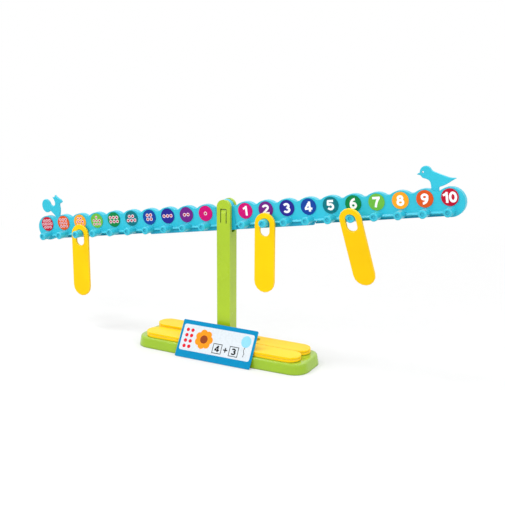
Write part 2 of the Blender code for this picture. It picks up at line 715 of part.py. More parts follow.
def post_barbs():
    """The barbs on the plug's two sides that catch in the socket's windows."""
    bm = bmesh.new()
    inner = PLUG_WIDTH / 2 - CUT_PAST / 2
    outer = PLUG_WIDTH / 2 + BARB_PROUD + SEAT_GAP
    for side in (-1, 1):
        barb = [(side * inner, BARB_TOP), (side * outer, BARB_TOP), (side * inner, BARB_TOP - BARB_HEIGHT)]
        prism(bm, barb, -BARB_HALF_DEPTH, BARB_HALF_DEPTH)
    return bm


def post_slot():
    """The slot between the fork's ears that the beam passes through."""
    bm = bmesh.new()
    high = PIVOT_HEIGHT + EAR_TOP + CUT_PAST
    box(bm, (-POST_WIDTH, -FORK_HALF, PIVOT_HEIGHT - FORK_DROP), (POST_WIDTH, FORK_HALF, high))
    return bm


def trunnion_seats():
    """The blind round seats in the ears' inner faces that carry the trunnions."""
    bm = bmesh.new()
    end = BEAM_BACK + TRUNNION_LENGTH + SEAT_GAP
    radius = TRUNNION_RADIUS + TRUNNION_CLEARANCE
    lathe(bm, [(0.0, -end), (radius, -end), (radius, end), (0.0, end)], ROUND_STEPS, (0.0, PIVOT_HEIGHT))
    return bm


def tongue_slits():
    """The slits that free a springy tongue round each seat, open at its top and sides."""
    bm = bmesh.new()
    inner = TONGUE_HALF
    outer = TONGUE_HALF + TONGUE_SLIT
    low = PIVOT_HEIGHT - TONGUE_ROOT
    high = PIVOT_HEIGHT + TONGUE_TOP
    outline = [(-outer, low), (-outer, high + TONGUE_SLIT), (outer, high + TONGUE_SLIT), (outer, low)]
    outline += [(inner, low), (inner, high), (-inner, high), (-inner, low)]
    reach = POST_HALF_DEPTH + CUT_PAST
    prism(bm, outline, -reach, -FORK_HALF + CUT_PAST)
    prism(bm, outline, FORK_HALF - CUT_PAST, reach)
    return bm


def tongue_ramps():
    """The sloping top of each tongue's outer face."""
    bm = bmesh.new()
    high = PIVOT_HEIGHT + TONGUE_TOP + TONGUE_SLIT / 2
    low = high - TONGUE_RAMP_LENGTH
    half = TONGUE_HALF + TONGUE_SLIT / 2
    for side in (-1, 1):
        face = side * POST_HALF_DEPTH
        proud = face + side * CUT_PAST
        inner = face - side * TONGUE_RAMP
        bar(bm, -half, half, [(proud, high), (inner, high), (face, low), (proud, low)])
    return bm


def lead_ins():
    """The groove that guides a trunnion from each ear's top down to its tongue."""
    bm = bmesh.new()
    high = PIVOT_HEIGHT + EAR_TOP + CUT_PAST
    low = PIVOT_HEIGHT + TONGUE_TOP + TONGUE_SLIT / 2
    half = TRUNNION_RADIUS + TRUNNION_CLEARANCE
    for side in (-1, 1):
        face = side * FORK_HALF
        inner = face - side * CUT_PAST
        deep = face + side * LEAD_IN_DEPTH
        shallow = face + side * LEAD_IN_DEPTH / 4
        bar(bm, -half, half, [(inner, high), (deep, high), (shallow, low), (inner, low)])
    return bm


def back_pockets():
    """The hollows in the post's back, with cross ribs between them."""
    bm = bmesh.new()
    low = POCKET_FOOT
    high = PIVOT_HEIGHT - POCKET_TOP_DROP
    step = (high - low + POCKET_RIB) / POST_POCKETS
    half = POST_HALF - POST_SKIN
    back = POST_HALF_DEPTH + CUT_PAST
    for index in range(POST_POCKETS):
        foot = low + index * step
        box(bm, (-half, POST_HALF_DEPTH - POCKET_DEPTH, foot), (half, back, foot + step - POCKET_RIB))
    return bm


def plan(inset):
    """The base's outline seen from above, moved inwards by inset: bowed sides, large round corners."""
    half_length = BASE_LENGTH / 2 - inset
    half_depth = BASE_DEPTH / 2 - inset
    radius = BASE_CORNER - inset
    corner_x = half_length - radius
    corner_y = half_depth - BASE_BOW - radius
    quarter = arc((corner_x, corner_y), radius, 0.0, 90.0, CORNER_STEPS)
    side = []
    for step in range(1, SIDE_STEPS + 1):
        x = corner_x * (1 - step / SIDE_STEPS)
        side.append((x, half_depth - BASE_BOW * (x / corner_x) ** 2))
    half = quarter + side
    left = [(-x, y) for x, y in reversed(half[:-1])]
    back = half + left
    front = [(-x, -y) for x, y in back]
    return back + front


def hull_profile():
    """The base's section as (inset, height) pairs: up the outside, over the deck, down the inside."""
    steps = [(0.0, 0.0), (HULL_DRAFT, DECK_HEIGHT - DECK_EDGE_RADIUS)]
    for step in range(1, EDGE_STEPS + 1):
        angle = math.radians(90.0 * step / EDGE_STEPS)
        inset = HULL_DRAFT + DECK_EDGE_RADIUS * (1 - math.cos(angle))
        steps.append((inset, DECK_HEIGHT - DECK_EDGE_RADIUS * (1 - math.sin(angle))))
    return steps


def stacked(bm, sections):
    """Join the base's outline at several (inset, height) sections into one closed shape."""
    rings = [[bm.verts.new((x, y, height)) for x, y in plan(inset)] for inset, height in sections]
    count = len(rings[0])
    for lower, upper in zip(rings, rings[1:]):
        for index in range(count):
            after = (index + 1) % count
            bm.faces.new((lower[index], lower[after], upper[after], upper[index]))
    bm.faces.new(rings[0])
    bm.faces.new(rings[-1])
    return bm


def base_shell(material):
    """The base: an open-bottomed hull with a flat deck, a floored socket for the post and cross ribs."""
    hull = stacked(bmesh.new(), hull_profile())
    item = add_object("base_shell", mesh_from(hull, "base_shell"), material)
    inside = [(HULL_WALL, -CUT_PAST), (HULL_WALL + HULL_DRAFT, DECK_HEIGHT - DECK_THICK)]
    boolean(item, cutter("base_hollow", stacked(bmesh.new(), inside)), "DIFFERENCE")
    boolean(item, cutter("base_ribs", base_ribs()), "UNION")
    boolean(item, cutter("base_socket", socket_block()), "UNION")
    boolean(item, cutter("base_socket_bore", socket_bore()), "DIFFERENCE")
    boolean(item, cutter("base_socket_windows", socket_windows()), "DIFFERENCE")
    shade(item)
    return item


def base_ribs():
    """The cross ribs under the deck, the same number to each side of the post."""
    bm = bmesh.new()
    high = DECK_HEIGHT - DECK_THICK / 2
    side = BASE_DEPTH / 2 - BASE_BOW - HULL_WALL - HULL_DRAFT / 2
    for place in range(1, HULL_RIBS + 1):
        for x in (-place * HULL_RIB_STEP, place * HULL_RIB_STEP):
            box(bm, (x - HULL_RIB / 2, -side, HULL_RIB_FOOT), (x + HULL_RIB / 2, side, high))
    return bm


def socket_block():
    """The walls and floor round the post's plug, from the table up to the deck."""
    bm = bmesh.new()
    half_x = PLUG_WIDTH / 2 + SEAT_GAP + SOCKET_WALL
    half_y = PLUG_DEPTH / 2 + SEAT_GAP + SOCKET_WALL
    box(bm, (-half_x, -half_y, 0.0), (half_x, half_y, DECK_HEIGHT - DECK_THICK / 2))
    return bm


def socket_bore():
    """The hollow for the post's plug, open at the deck."""
    bm = bmesh.new()
    half_x = PLUG_WIDTH / 2 + SEAT_GAP
    half_y = PLUG_DEPTH / 2 + SEAT_GAP
    box(bm, (-half_x, -half_y, SOCKET_FLOOR), (half_x, half_y, DECK_HEIGHT + CUT_PAST))
    return bm


def socket_windows():
    """The windows in the socket's two end walls that the barbs snap into."""
    bm = bmesh.new()
    half_x = PLUG_WIDTH / 2 + SEAT_GAP + SOCKET_WALL + CUT_PAST
    half_y = BARB_HALF_DEPTH + SEAT_GAP
    box(bm, (-half_x, -half_y, BARB_TOP - BARB_HEIGHT - SEAT_GAP), (half_x, half_y, WINDOW_TOP))
    return bm


def card(material):
    """The question card, its foot on the table and its back on the front piles or on the base's edge."""
    rests = [(-PILE_Y - WEIGHT_WIDTH / 2, DECK_HEIGHT + FRONT_LAYERS * LAYER)]
    rests += [(inset - BASE_DEPTH / 2, height) for inset, height in hull_profile()]
    foot_y = min(y - (SEAT_GAP + z * math.sin(CARD_LEAN)) / math.cos(CARD_LEAN) for y, z in rests)
    half = CARD_WIDTH / 2
    corner = CARD_CORNER
    outline = arc((half - corner, corner), corner, -90.0, 0.0, EDGE_STEPS)
    outline += arc((half - corner, CARD_HEIGHT - corner), corner, 0.0, 90.0, EDGE_STEPS)
    outline += arc((corner - half, CARD_HEIGHT - corner), corner, 90.0, 180.0, EDGE_STEPS)
    outline += arc((corner - half, corner), corner, 180.0, 270.0, EDGE_STEPS)
    bm = bmesh.new()
    prism(bm, outline, -CARD_THICK, 0.0)
    item = add_object("question_card", mesh_from(bm, "question_card"), material, None, (0.0, foot_y, 0.0))
    item.rotation_euler = (-CARD_LEAN, 0.0, 0.0)
    return item


def build():
    """Build the whole balance."""
    clear_scene()
    lime = plastic("lime_plastic", LIME)
    sky = plastic("sky_plastic", SKY)
    yellow = plastic("yellow_plastic", YELLOW)

    base_shell(lime)
    post(lime)

    pivot = bpy.data.objects.new("beam_axis", None)
    bpy.context.scene.collection.objects.link(pivot)
    pivot.location = (0.0, 0.0, PIVOT_HEIGHT)
    pivot.rotation_euler = (0.0, -REST_TILT, 0.0)

    beam_centre(sky, pivot)
    bird_foot = [BIRD_PLACE * PITCH + x for x in BIRD_FOOT]
    squirrel_foot = [SQUIRREL_PLACE * PITCH + x for x in SQUIRREL_FOOT]
    arm("right_arm", 1, bird_foot, sky, pivot)
    arm("left_arm", -1, squirrel_foot, sky, pivot)
    bird = figure("bird", BIRD_PLACE, bird_outline(), sky, pivot)
    add_eye(bird, pivot)
    shade(bird)
    shade(figure("squirrel", SQUIRREL_PLACE, squirrel_outline(), sky, pivot))

    disc = disc_mesh()
    for place in range(1, PLACES + 1):
        colour = DISC_COLOURS[place - 1]
        material = plastic("disc_%d" % place, colour, 0.35)
        place_disc("number_disc_%d" % place, place, material, disc, pivot)
        place_disc("dot_disc_%d" % place, -place, material, disc, pivot)

    plate = weight_mesh()
    hung_weight(-8, HANG_NEAR, plate, yellow)
    hung_weight(2, HANG_CLEAR, plate, yellow)
    hung_weight(6, HANG_TIP, plate, yellow, HELD_SWING, HELD_LEAN)
    stored_weights(plate, yellow)
    card(plastic("card_print", CARD_BLUE, 0.45))


build()
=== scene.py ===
"""Looks of the number balance: moulded plastics, printed discs, weights, the card and the studio.

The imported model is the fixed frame. Each sub-assembly is a class: it holds its sizes, builds what is
printed or laid on the solids, and gives the solids their finishes. Places and meshes are in metres, in
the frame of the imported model: X to the side with numerals, Y away from the viewer, Z up. Prints are
drawn in millimetres, across and up, and become meshes in ink_mesh.
"""

from __future__ import annotations

import logging
import math
from dataclasses import dataclass, field
from enum import Enum
from typing import Union

import bmesh
import bpy
from mathutils import Matrix, Vector
from mathutils.geometry import delaunay_2d_cdt


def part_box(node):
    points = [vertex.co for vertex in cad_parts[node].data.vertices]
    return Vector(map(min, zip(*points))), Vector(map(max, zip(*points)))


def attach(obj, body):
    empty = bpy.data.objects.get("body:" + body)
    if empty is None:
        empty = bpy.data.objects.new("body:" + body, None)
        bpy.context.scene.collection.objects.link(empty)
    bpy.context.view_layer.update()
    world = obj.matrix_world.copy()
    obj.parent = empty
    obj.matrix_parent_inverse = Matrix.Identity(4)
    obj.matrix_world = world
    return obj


MM = 0.001
MERGE = 1e-5  # millimetres: closer corners of a print become one
PIVOT = 173.0 * MM  # the beam's pivot above the table
TILT = math.radians(9.0)  # the beam's tilt at rest
LOG = logging.getLogger("number_balance")
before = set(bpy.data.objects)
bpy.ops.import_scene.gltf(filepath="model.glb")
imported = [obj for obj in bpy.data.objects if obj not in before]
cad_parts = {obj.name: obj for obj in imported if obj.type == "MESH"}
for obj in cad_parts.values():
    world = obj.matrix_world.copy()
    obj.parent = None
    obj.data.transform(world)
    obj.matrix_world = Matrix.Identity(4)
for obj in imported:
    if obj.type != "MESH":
        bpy.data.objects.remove(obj)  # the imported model: its bodies, nodes, joints and record

Point = tuple[float, float]
Outline = list[Point]
Place = tuple[float, float, float]
Rgba = tuple[float, float, float, float]
Value = Union[bpy.types.NodeSocket, float]
Colour = Union[bpy.types.NodeSocket, Rgba]

WHITE: Rgba = (1.0, 1.0, 1.0, 1.0)


class Hue(Enum):
    """Display colours of the plastics and inks, and of the sky plastic in painted shade, as 0 to 255 values.
    """

    SKY = (46, 189, 212)
    # The next two are the sky plastic in painted shade: below the beam's lip, and on the rails.
    LOW_SKY = (8, 172, 206)
    DEEP_SKY = (0, 148, 180)
    LIME = (168, 199, 32)
    HULL_LIME = (150, 187, 28)
    SUNNY = (255, 206, 0)
    CARD_BLUE = (0, 132, 180)
    PANEL_WHITE = (210, 217, 223)
    INK_WHITE = (250, 250, 252)
    INK_BLACK = (24, 24, 28)
    RING_BLUSH = (246, 214, 222)
    CORE_RED = (172, 26, 46)
    DOT_RED = (214, 30, 44)
    PETAL_ORANGE = (243, 146, 30)
    PETAL_BROWN = (142, 66, 30)
    PALE_BLUE = (140, 206, 232)
    MAGENTA = (206, 0, 113)
    PURPLE = (110, 30, 130)
    NAVY = (35, 35, 140)
    ROYAL = (12, 66, 154)
    TEAL = (0, 114, 124)
    GREEN = (0, 130, 65)
    LEAF = (108, 183, 64)
    AMBER = (250, 165, 30)
    ORANGE = (220, 84, 24)
    CRIMSON = (190, 10, 45)

    def linear(self) -> Rgba:
        """Turn the display colour into linear light by the sRGB curve.

        Returns:
            The colour as linear RGB with a full alpha.
        """
        channels = []
        for value in self.value:
            share = value / 255.0
            channels.append(share / 12.92 if share <= 0.04045 else ((share + 0.055) / 1.055) ** 2.4)
        return (channels[0], channels[1], channels[2], 1.0)


DISC_HUES = (
    Hue.MAGENTA, Hue.PURPLE, Hue.NAVY, Hue.ROYAL, Hue.TEAL,
    Hue.GREEN, Hue.LEAF, Hue.AMBER, Hue.ORANGE, Hue.CRIMSON,
)


class Body(Enum):
    """The moving bodies that prints and strips ride on."""

    BEAM = "beam"
    CARD = "card"


def grey(tone: float) -> Rgba:
    """Return a neutral colour."""
    return (tone, tone, tone, 1.0)


def deeper(colour: Rgba, share: float) -> Rgba:
    """Return a colour with its light cut by a share."""
    return (colour[0] * (1 - share), colour[1] * (1 - share), colour[2] * (1 - share), 1.0)


def richer(colour: Rgba, depth: float) -> Rgba:
    """Return the colour that light has after it bounces between walls, darker and more saturated."""
    return (colour[0] ** (1 + depth), colour[1] ** (1 + depth), colour[2] ** (1 + depth), 1.0)


def paler(colour: Rgba, share: float) -> Rgba:
    """Return a colour taken towards white by a share."""
    red, green, blue = (channel + (1.0 - channel) * share for channel in colour[:3])
    return (red, green, blue, 1.0)


class NodeTree:
    """A thin, typed layer over a shader node tree."""

    COLUMN_STEP = 190.0  # how the nodes are spread out in the editor
    ROW_STEP = 150.0
    ROWS = 4

    def __init__(self, tree: bpy.types.NodeTree) -> None:
        """Keep the tree.

        Args:
            tree: The material's or group's node tree.
        """
        self.tree = tree
        self.column = 0

    def add(self, kind: str, **settings: object) -> bpy.types.Node:
        """Add a node, with attributes given by name.

        Args:
            kind: Blender's name of the node's type.
            **settings: Attributes to set on the node.

        Returns:
            The new node.
        """
        node = self.tree.nodes.new(kind)
        node.location = (self.column * self.COLUMN_STEP, -(self.column % self.ROWS) * self.ROW_STEP)
        self.column += 1
        for key, value in settings.items():
            setattr(node, key, value)
        return node

    def join(self, source: bpy.types.NodeSocket, target: bpy.types.NodeSocket) -> None:
        """Link one socket to another."""
        self.tree.links.new(source, target)

    def math(
        self, operation: str, first: Value, second: Value | None = None, clamp: bool = False
    ) -> bpy.types.NodeSocket:
        """Combine two values, each a socket or a number.

        Args:
            operation: The Math node's operation.
            first: The first value.
            second: The second value, if the operation has one.
            clamp: Whether the result stays between 0 and 1.

        Returns:
            The result's socket.
        """
        node = self.add("ShaderNodeMath", operation=operation, use_clamp=clamp)
        for index, value in enumerate((first, second)):
            if isinstance(value, bpy.types.NodeSocket):
                self.join(value, node.inputs[index])
            elif value is not None:
                node.inputs[index].default_value = value
        return node.outputs[0]

    def blend(self, factor: bpy.types.NodeSocket, low: Colour, high: Colour) -> bpy.types.NodeSocket:
        """Mix two colours by a mask.

        Args:
            factor: The mask's socket.
            low: The colour, or its socket, where the mask is 0.
            high: The colour, or its socket, where the mask is 1.

        Returns:
            The mixed colour's socket.
        """
        node = self.add("ShaderNodeMix", data_type="RGBA", blend_type="MIX")
        self.join(factor, node.inputs["Factor"])
        for name, value in (("A", low), ("B", high)):
            target = next(s for s in node.inputs if s.name == name and s.type == "RGBA")
            if isinstance(value, bpy.types.NodeSocket):
                self.join(value, target)
            else:
                target.default_value = value
        return next(s for s in node.outputs if s.type == "RGBA")

    def spread(
        self, value: bpy.types.NodeSocket, low: float, high: float, to_low: float = 0.0, to_high: float = 1.0
    ) -> bpy.types.NodeSocket:
        """Map a range of values onto another, clamped.

        Args:
            value: The socket to map.
            low: The input that gives to_low.
            high: The input that gives to_high.
            to_low: What low becomes.
            to_high: What high becomes.

        Returns:
            The mapped value's socket.
        """
        node = self.add("ShaderNodeMapRange")
        for name, number in (("From Min", low), ("From Max", high), ("To Min", to_low), ("To Max", to_high)):
            node.inputs[name].default_value = number
        self.join(value, node.inputs["Value"])
        return node.outputs["Result"]

    def own_place(self) -> bpy.types.NodeSocket:
        """Return the object's own coordinates, in metres."""
        return self.add("ShaderNodeTexCoord").outputs["Object"]

    def noise(self, where: bpy.types.NodeSocket, scale: Value, detail: float = 2.0) -> bpy.types.NodeSocket:
        """Add fractal noise over a place.

        Args:
            where: The coordinates' socket.
            scale: The noise's scale, a socket or a number.
            detail: How many octaves it has.

        Returns:
            The noise value's socket.
        """
        node = self.add("ShaderNodeTexNoise")
        node.inputs["Detail"].default_value = detail
        self.join(where, node.inputs["Vector"])
        if isinstance(scale, bpy.types.NodeSocket):
            self.join(scale, node.inputs["Scale"])
        else:
            node.inputs["Scale"].default_value = scale
        return node.outputs["Fac"]


class ShaderLibrary:
    """The effects that several finishes share, each a node group built once.

    Noise seldom leaves the middle of its range, so each group spreads only that middle over its mask.
    """

    def __init__(self) -> None:
        """Build every group."""
        self.grain = self._grain()
        self.edges = self._edges()
        self.crevices = self._crevices()
        self.haze = self._haze()
        self.dust = self._dust()
        self.pigment = self._pigment()
        self.under_lip = self._under_lip()

    @staticmethod
    def _group(
        name: str, inputs: dict[str, tuple[str, float | Rgba]], outputs: dict[str, str]
    ) -> tuple[bpy.types.NodeTree, NodeTree, bpy.types.Node, bpy.types.Node]:
        """Start a node group with named sockets.

        Args:
            name: The group's name.
            inputs: Socket type and default by input name.
            outputs: Socket type by output name.

        Returns:
            The group, its wiring, and its input and output nodes.
        """
        group = bpy.data.node_groups.new(name, "ShaderNodeTree")
        for label, (kind, default) in inputs.items():
            socket = group.interface.new_socket(name=label, in_out="INPUT", socket_type=kind)
            socket.default_value = default
        for label, kind in outputs.items():
            group.interface.new_socket(name=label, in_out="OUTPUT", socket_type=kind)
        wiring = NodeTree(group)
        return group, wiring, wiring.add("NodeGroupInput"), wiring.add("NodeGroupOutput")

    def _grain(self) -> bpy.types.NodeTree:
        """Make the fine texture that a mould leaves, as a height, and the slow drift of its gloss.

        Returns:
            The group, with outputs Height and Flow.
        """
        group, wiring, given, result = self._group(
            "MouldedGrain",
            {"Scale": ("NodeSocketFloat", 1800.0), "Flow Scale": ("NodeSocketFloat", 22.0)},
            {"Height": "NodeSocketFloat", "Flow": "NodeSocketFloat"},
        )
        place = wiring.own_place()
        fine = wiring.noise(place, given.outputs["Scale"], detail=3.0)
        stretch = wiring.add("ShaderNodeVectorMath", operation="MULTIPLY")
        stretch.inputs[1].default_value = (0.35, 1.0, 1.0)  # the flow is drawn out along the moulding
        wiring.join(place, stretch.inputs[0])
        flow = wiring.noise(stretch.outputs["Vector"], given.outputs["Flow Scale"])
        wiring.join(fine, result.inputs["Height"])
        wiring.join(wiring.spread(flow, 0.32, 0.68), result.inputs["Flow"])
        return group

    def _edges(self) -> bpy.types.NodeTree:
        """Make the rounding of moulded edges, as a normal, and a mask of the edges, which are painted paler,
        partly as a highlight and partly as rubbing wear.

        Returns:
            The group, with outputs Normal and Mask.
        """
        group, wiring, given, result = self._group(
            "SoftEdges",
            {"Radius": ("NodeSocketFloat", 0.6 * MM), "Wear Scale": ("NodeSocketFloat", 160.0)},
            {"Normal": "NodeSocketVector", "Mask": "NodeSocketFloat"},
        )
        rounded = wiring.add("ShaderNodeBevel", samples=4)
        wiring.join(given.outputs["Radius"], rounded.inputs["Radius"])
        flat = wiring.add("ShaderNodeNewGeometry").outputs["Normal"]
        likeness = wiring.add("ShaderNodeVectorMath", operation="DOT_PRODUCT")
        wiring.join(rounded.outputs["Normal"], likeness.inputs[0])
        wiring.join(flat, likeness.inputs[1])
        turned = wiring.spread(likeness.outputs["Value"], 0.999, 0.86)  # 1 is a face, less an edge
        place = wiring.own_place()
        blotches = wiring.noise(place, given.outputs["Wear Scale"], detail=4.0)
        patchy = wiring.spread(blotches, 0.3, 0.7, to_low=0.35)
        wiring.join(rounded.outputs["Normal"], result.inputs["Normal"])
        wiring.join(wiring.math("MULTIPLY", turned, patchy, clamp=True), result.inputs["Mask"])
        return group

    def _crevices(self) -> bpy.types.NodeTree:
        """Make a mask of the grooves and inner corners, where shade is painted into the colour.

        Returns:
            The group, with output Mask.
        """
        group, wiring, given, result = self._group(
            "Crevices", {"Reach": ("NodeSocketFloat", 4.0 * MM)}, {"Mask": "NodeSocketFloat"},
        )
        open_share = wiring.add("ShaderNodeAmbientOcclusion", samples=8, only_local=True)
        wiring.join(given.outputs["Reach"], open_share.inputs["Distance"])
        shut = wiring.spread(open_share.outputs["AO"], 0.5, 0.2)  # half the sky is open at a plain corner
        wiring.join(shut, result.inputs["Mask"])
        return group

    def _haze(self) -> bpy.types.NodeTree:
        """Make the smears that handling leaves on a glossy surface, as a mask.

        Returns:
            The group, with output Mask.
        """
        group, wiring, given, result = self._group(
            "HandlingHaze",
            {"Scale": ("NodeSocketFloat", 48.0), "Fine Scale": ("NodeSocketFloat", 900.0)},
            {"Mask": "NodeSocketFloat"},
        )
        place = wiring.own_place()
        broad = wiring.spread(wiring.noise(place, given.outputs["Scale"], detail=3.0), 0.45, 0.7)
        fine = wiring.spread(wiring.noise(place, given.outputs["Fine Scale"]), 0.35, 0.65, to_low=0.4)
        wiring.join(wiring.math("MULTIPLY", broad, fine, clamp=True), result.inputs["Mask"])
        return group

    def _dust(self) -> bpy.types.NodeTree:
        """Make the thin dust that settles on faces that look up, as a mask.

        Returns:
            The group, with output Mask.
        """
        group, wiring, given, result = self._group(
            "SettledDust",
            {"Amount": ("NodeSocketFloat", 0.1), "Speckle Scale": ("NodeSocketFloat", 700.0)},
            {"Mask": "NodeSocketFloat"},
        )
        split = wiring.add("ShaderNodeSeparateXYZ")
        wiring.join(wiring.add("ShaderNodeNewGeometry").outputs["Normal"], split.inputs[0])
        upward = wiring.spread(split.outputs["Z"], 0.55, 0.95)
        place = wiring.own_place()
        specks = wiring.noise(place, given.outputs["Speckle Scale"], detail=5.0)
        speckle = wiring.spread(specks, 0.42, 0.72, to_low=0.15)
        settled = wiring.math("MULTIPLY", upward, speckle)
        mask = wiring.math("MULTIPLY", settled, given.outputs["Amount"], clamp=True)
        wiring.join(mask, result.inputs["Mask"])
        return group

    def _pigment(self) -> bpy.types.NodeTree:
        """Make a colour that drifts a little over the surface, as pigment in plastic or ink does.

        Returns:
            The group, with output Colour.
        """
        group, wiring, given, result = self._group(
            "PigmentDrift",
            {
                "Colour": ("NodeSocketColor", grey(0.8)),
                "Deep Colour": ("NodeSocketColor", grey(0.6)),
                "Scale": ("NodeSocketFloat", 30.0),
            },
            {"Colour": "NodeSocketColor"},
        )
        place = wiring.own_place()
        drift = wiring.spread(wiring.noise(place, given.outputs["Scale"], detail=3.0), 0.35, 0.7)
        mixed = wiring.blend(drift, given.outputs["Colour"], given.outputs["Deep Colour"])
        wiring.join(mixed, result.inputs["Colour"])
        return group

    def _under_lip(self) -> bpy.types.NodeTree:
        """Make a mask of what lies below a height in the tilted beam's own frame, where shade is painted
        into the colour.

        Returns:
            The group, with output Mask.
        """
        group, wiring, given, result = self._group(
            "UnderLip",
            {"Height": ("NodeSocketFloat", 0.0), "Softness": ("NodeSocketFloat", 1.0 * MM)},
            {"Mask": "NodeSocketFloat"},
        )
        from_pivot = wiring.add("ShaderNodeVectorMath", operation="SUBTRACT")
        wiring.join(wiring.own_place(), from_pivot.inputs[0])
        from_pivot.inputs[1].default_value = (0.0, 0.0, PIVOT)
        rise = wiring.add("ShaderNodeVectorMath", operation="DOT_PRODUCT")
        wiring.join(from_pivot.outputs["Vector"], rise.inputs[0])
        rise.inputs[1].default_value = (-math.sin(TILT), 0.0, math.cos(TILT))
        below = wiring.math("SUBTRACT", given.outputs["Height"], rise.outputs["Value"])
        share = wiring.math("DIVIDE", below, given.outputs["Softness"], clamp=True)
        wiring.join(share, result.inputs["Mask"])
        return group


def use_group(wiring: NodeTree, group: bpy.types.NodeTree, **values: float | Rgba) -> bpy.types.Node:
    """Place a node group in a material.

    Args:
        wiring: The material's wiring.
        group: The group to place.
        **values: Input values, with underscores for spaces in their names.

    Returns:
        The group's node.
    """
    node = wiring.add("ShaderNodeGroup")
    node.node_tree = group
    for name, value in values.items():
        node.inputs[name.replace("_", " ")].default_value = value
    return node


def new_material(name: str) -> tuple[bpy.types.Material, NodeTree, bpy.types.Node]:
    """Start a material.

    Args:
        name: The material's name.

    Returns:
        The material, its wiring and its Principled shader.
    """
    material = bpy.data.materials.new(name)
    material.use_nodes = True
    return material, NodeTree(material.node_tree), material.node_tree.nodes["Principled BSDF"]


def raise_grain(
    wiring: NodeTree, shader: bpy.types.Node, height: bpy.types.NodeSocket, strength: float, depth: float,
) -> bpy.types.Node:
    """Let a height tilt the shader's normal.

    Args:
        wiring: The material's wiring.
        shader: The Principled shader.
        height: The height's socket.
        strength: How strongly the height shows.
        depth: How deep it goes, in metres.

    Returns:
        The Bump node.
    """
    bump = wiring.add("ShaderNodeBump")
    bump.inputs["Strength"].default_value = strength
    bump.inputs["Distance"].default_value = depth
    wiring.join(height, bump.inputs["Height"])
    wiring.join(bump.outputs["Normal"], shader.inputs["Normal"])
    return bump


@dataclass(frozen=True)
class MouldedPlastic:
    """A glossy injection-moulded plastic."""

    name: str
    hue: Hue
    roughness: float = 0.32
    roughness_drift: tuple[float, float] = (-0.04, 0.05)  # how far it falls and rises with the flow
    gloss: float = 0.28
    coat: float = 0.05
    coat_roughness: float = 0.07
    streak_depth: float = 0.07  # how much light the pigment's streaks lose
    streak_scale: float = 26.0  # scales are in features per metre
    edge_radius: float = 0.6 * MM
    edge_lift: float = 0.30  # how pale an edge is painted, partly a highlight and partly rubbing wear
    edge_rub: float = 0.55  # how much of the edge mask takes that painted highlight and wear
    groove_depth: float = 0.55  # how much darker and richer the painted shade in grooves is
    groove_reach: float = 4.0 * MM
    grain: float = 0.05  # how strongly the mould's texture shows
    grain_scale: float = 1500.0
    grain_height: float = 0.2 * MM
    smear: float = 0.10  # how much handling roughens it
    dust: float = 0.06
    dust_colour: Rgba = (0.82, 0.82, 0.80, 1.0)
    shaded_below: float | None = None  # a height over the pivot, in the beam's frame, below which shade is painted into the colour
    shade_softness: float = 0.4 * MM

    def material(self, library: ShaderLibrary) -> bpy.types.Material:
        """Build the material.

        Args:
            library: The shared node groups.

        Returns:
            The finished material.
        """
        material, wiring, shader = new_material(self.name)
        edges = use_group(wiring, library.edges, Radius=self.edge_radius)
        colour = self._colour(wiring, library, edges.outputs["Mask"])
        wiring.join(colour, shader.inputs["Base Color"])
        grain = use_group(wiring, library.grain, Scale=self.grain_scale)
        haze = use_group(wiring, library.haze)
        smoothest, roughest = (self.roughness + drift for drift in self.roughness_drift)
        rough = wiring.spread(grain.outputs["Flow"], 0.0, 1.0, smoothest, roughest)
        smeared = wiring.math("MULTIPLY", haze.outputs["Mask"], self.smear)
        wiring.join(wiring.math("ADD", smeared, rough), shader.inputs["Roughness"])
        bump = raise_grain(wiring, shader, grain.outputs["Height"], self.grain, self.grain_height)
        wiring.join(edges.outputs["Normal"], bump.inputs["Normal"])
        shader.inputs["Specular IOR Level"].default_value = self.gloss
        shader.inputs["Coat Weight"].default_value = self.coat
        shader.inputs["Coat Roughness"].default_value = self.coat_roughness
        return material

    def _colour(
        self, wiring: NodeTree, library: ShaderLibrary, edges: bpy.types.NodeSocket
    ) -> bpy.types.NodeSocket:
        """Build the colour: streaks, painted shade in grooves, edges painted paler as a highlight and as
        wear, painted shade below a height, and dust.

        Args:
            wiring: The material's wiring.
            library: The shared node groups.
            edges: The mask of the edges.

        Returns:
            The colour's socket.
        """
        colour = self.hue.linear()
        streak = deeper(colour, self.streak_depth)
        pigment = use_group(
            wiring, library.pigment, Colour=colour, Deep_Colour=streak, Scale=self.streak_scale
        )
        # Grooves and inner corners are painted darker and richer, as shade found by ambient occlusion.
        groove_shade_mask = use_group(wiring, library.crevices, Reach=self.groove_reach).outputs["Mask"]
        with_groove_shade = wiring.blend(groove_shade_mask, pigment.outputs["Colour"], richer(colour, self.groove_depth))
        outside = wiring.math("SUBTRACT", 1.0, groove_shade_mask, clamp=True)
        exposed = wiring.math("MULTIPLY", edges, outside)
        # Edges outside the grooves are painted paler, partly as a highlight and partly as rubbing wear.
        pale_edge_mask = wiring.math("MULTIPLY", exposed, self.edge_rub, clamp=True)
        worn_with_painted_light = wiring.blend(pale_edge_mask, with_groove_shade, paler(colour, self.edge_lift))
        # Below a height in the beam's frame the colour turns to a painted shade.
        if self.shaded_below is not None:
            low = use_group(
                wiring, library.under_lip, Height=self.shaded_below, Softness=self.shade_softness
            )
            worn_with_painted_light = wiring.blend(low.outputs["Mask"], worn_with_painted_light, Hue.LOW_SKY.linear())
        dust = use_group(wiring, library.dust, Amount=self.dust)
        return wiring.blend(dust.outputs["Mask"], worn_with_painted_light, self.dust_colour)


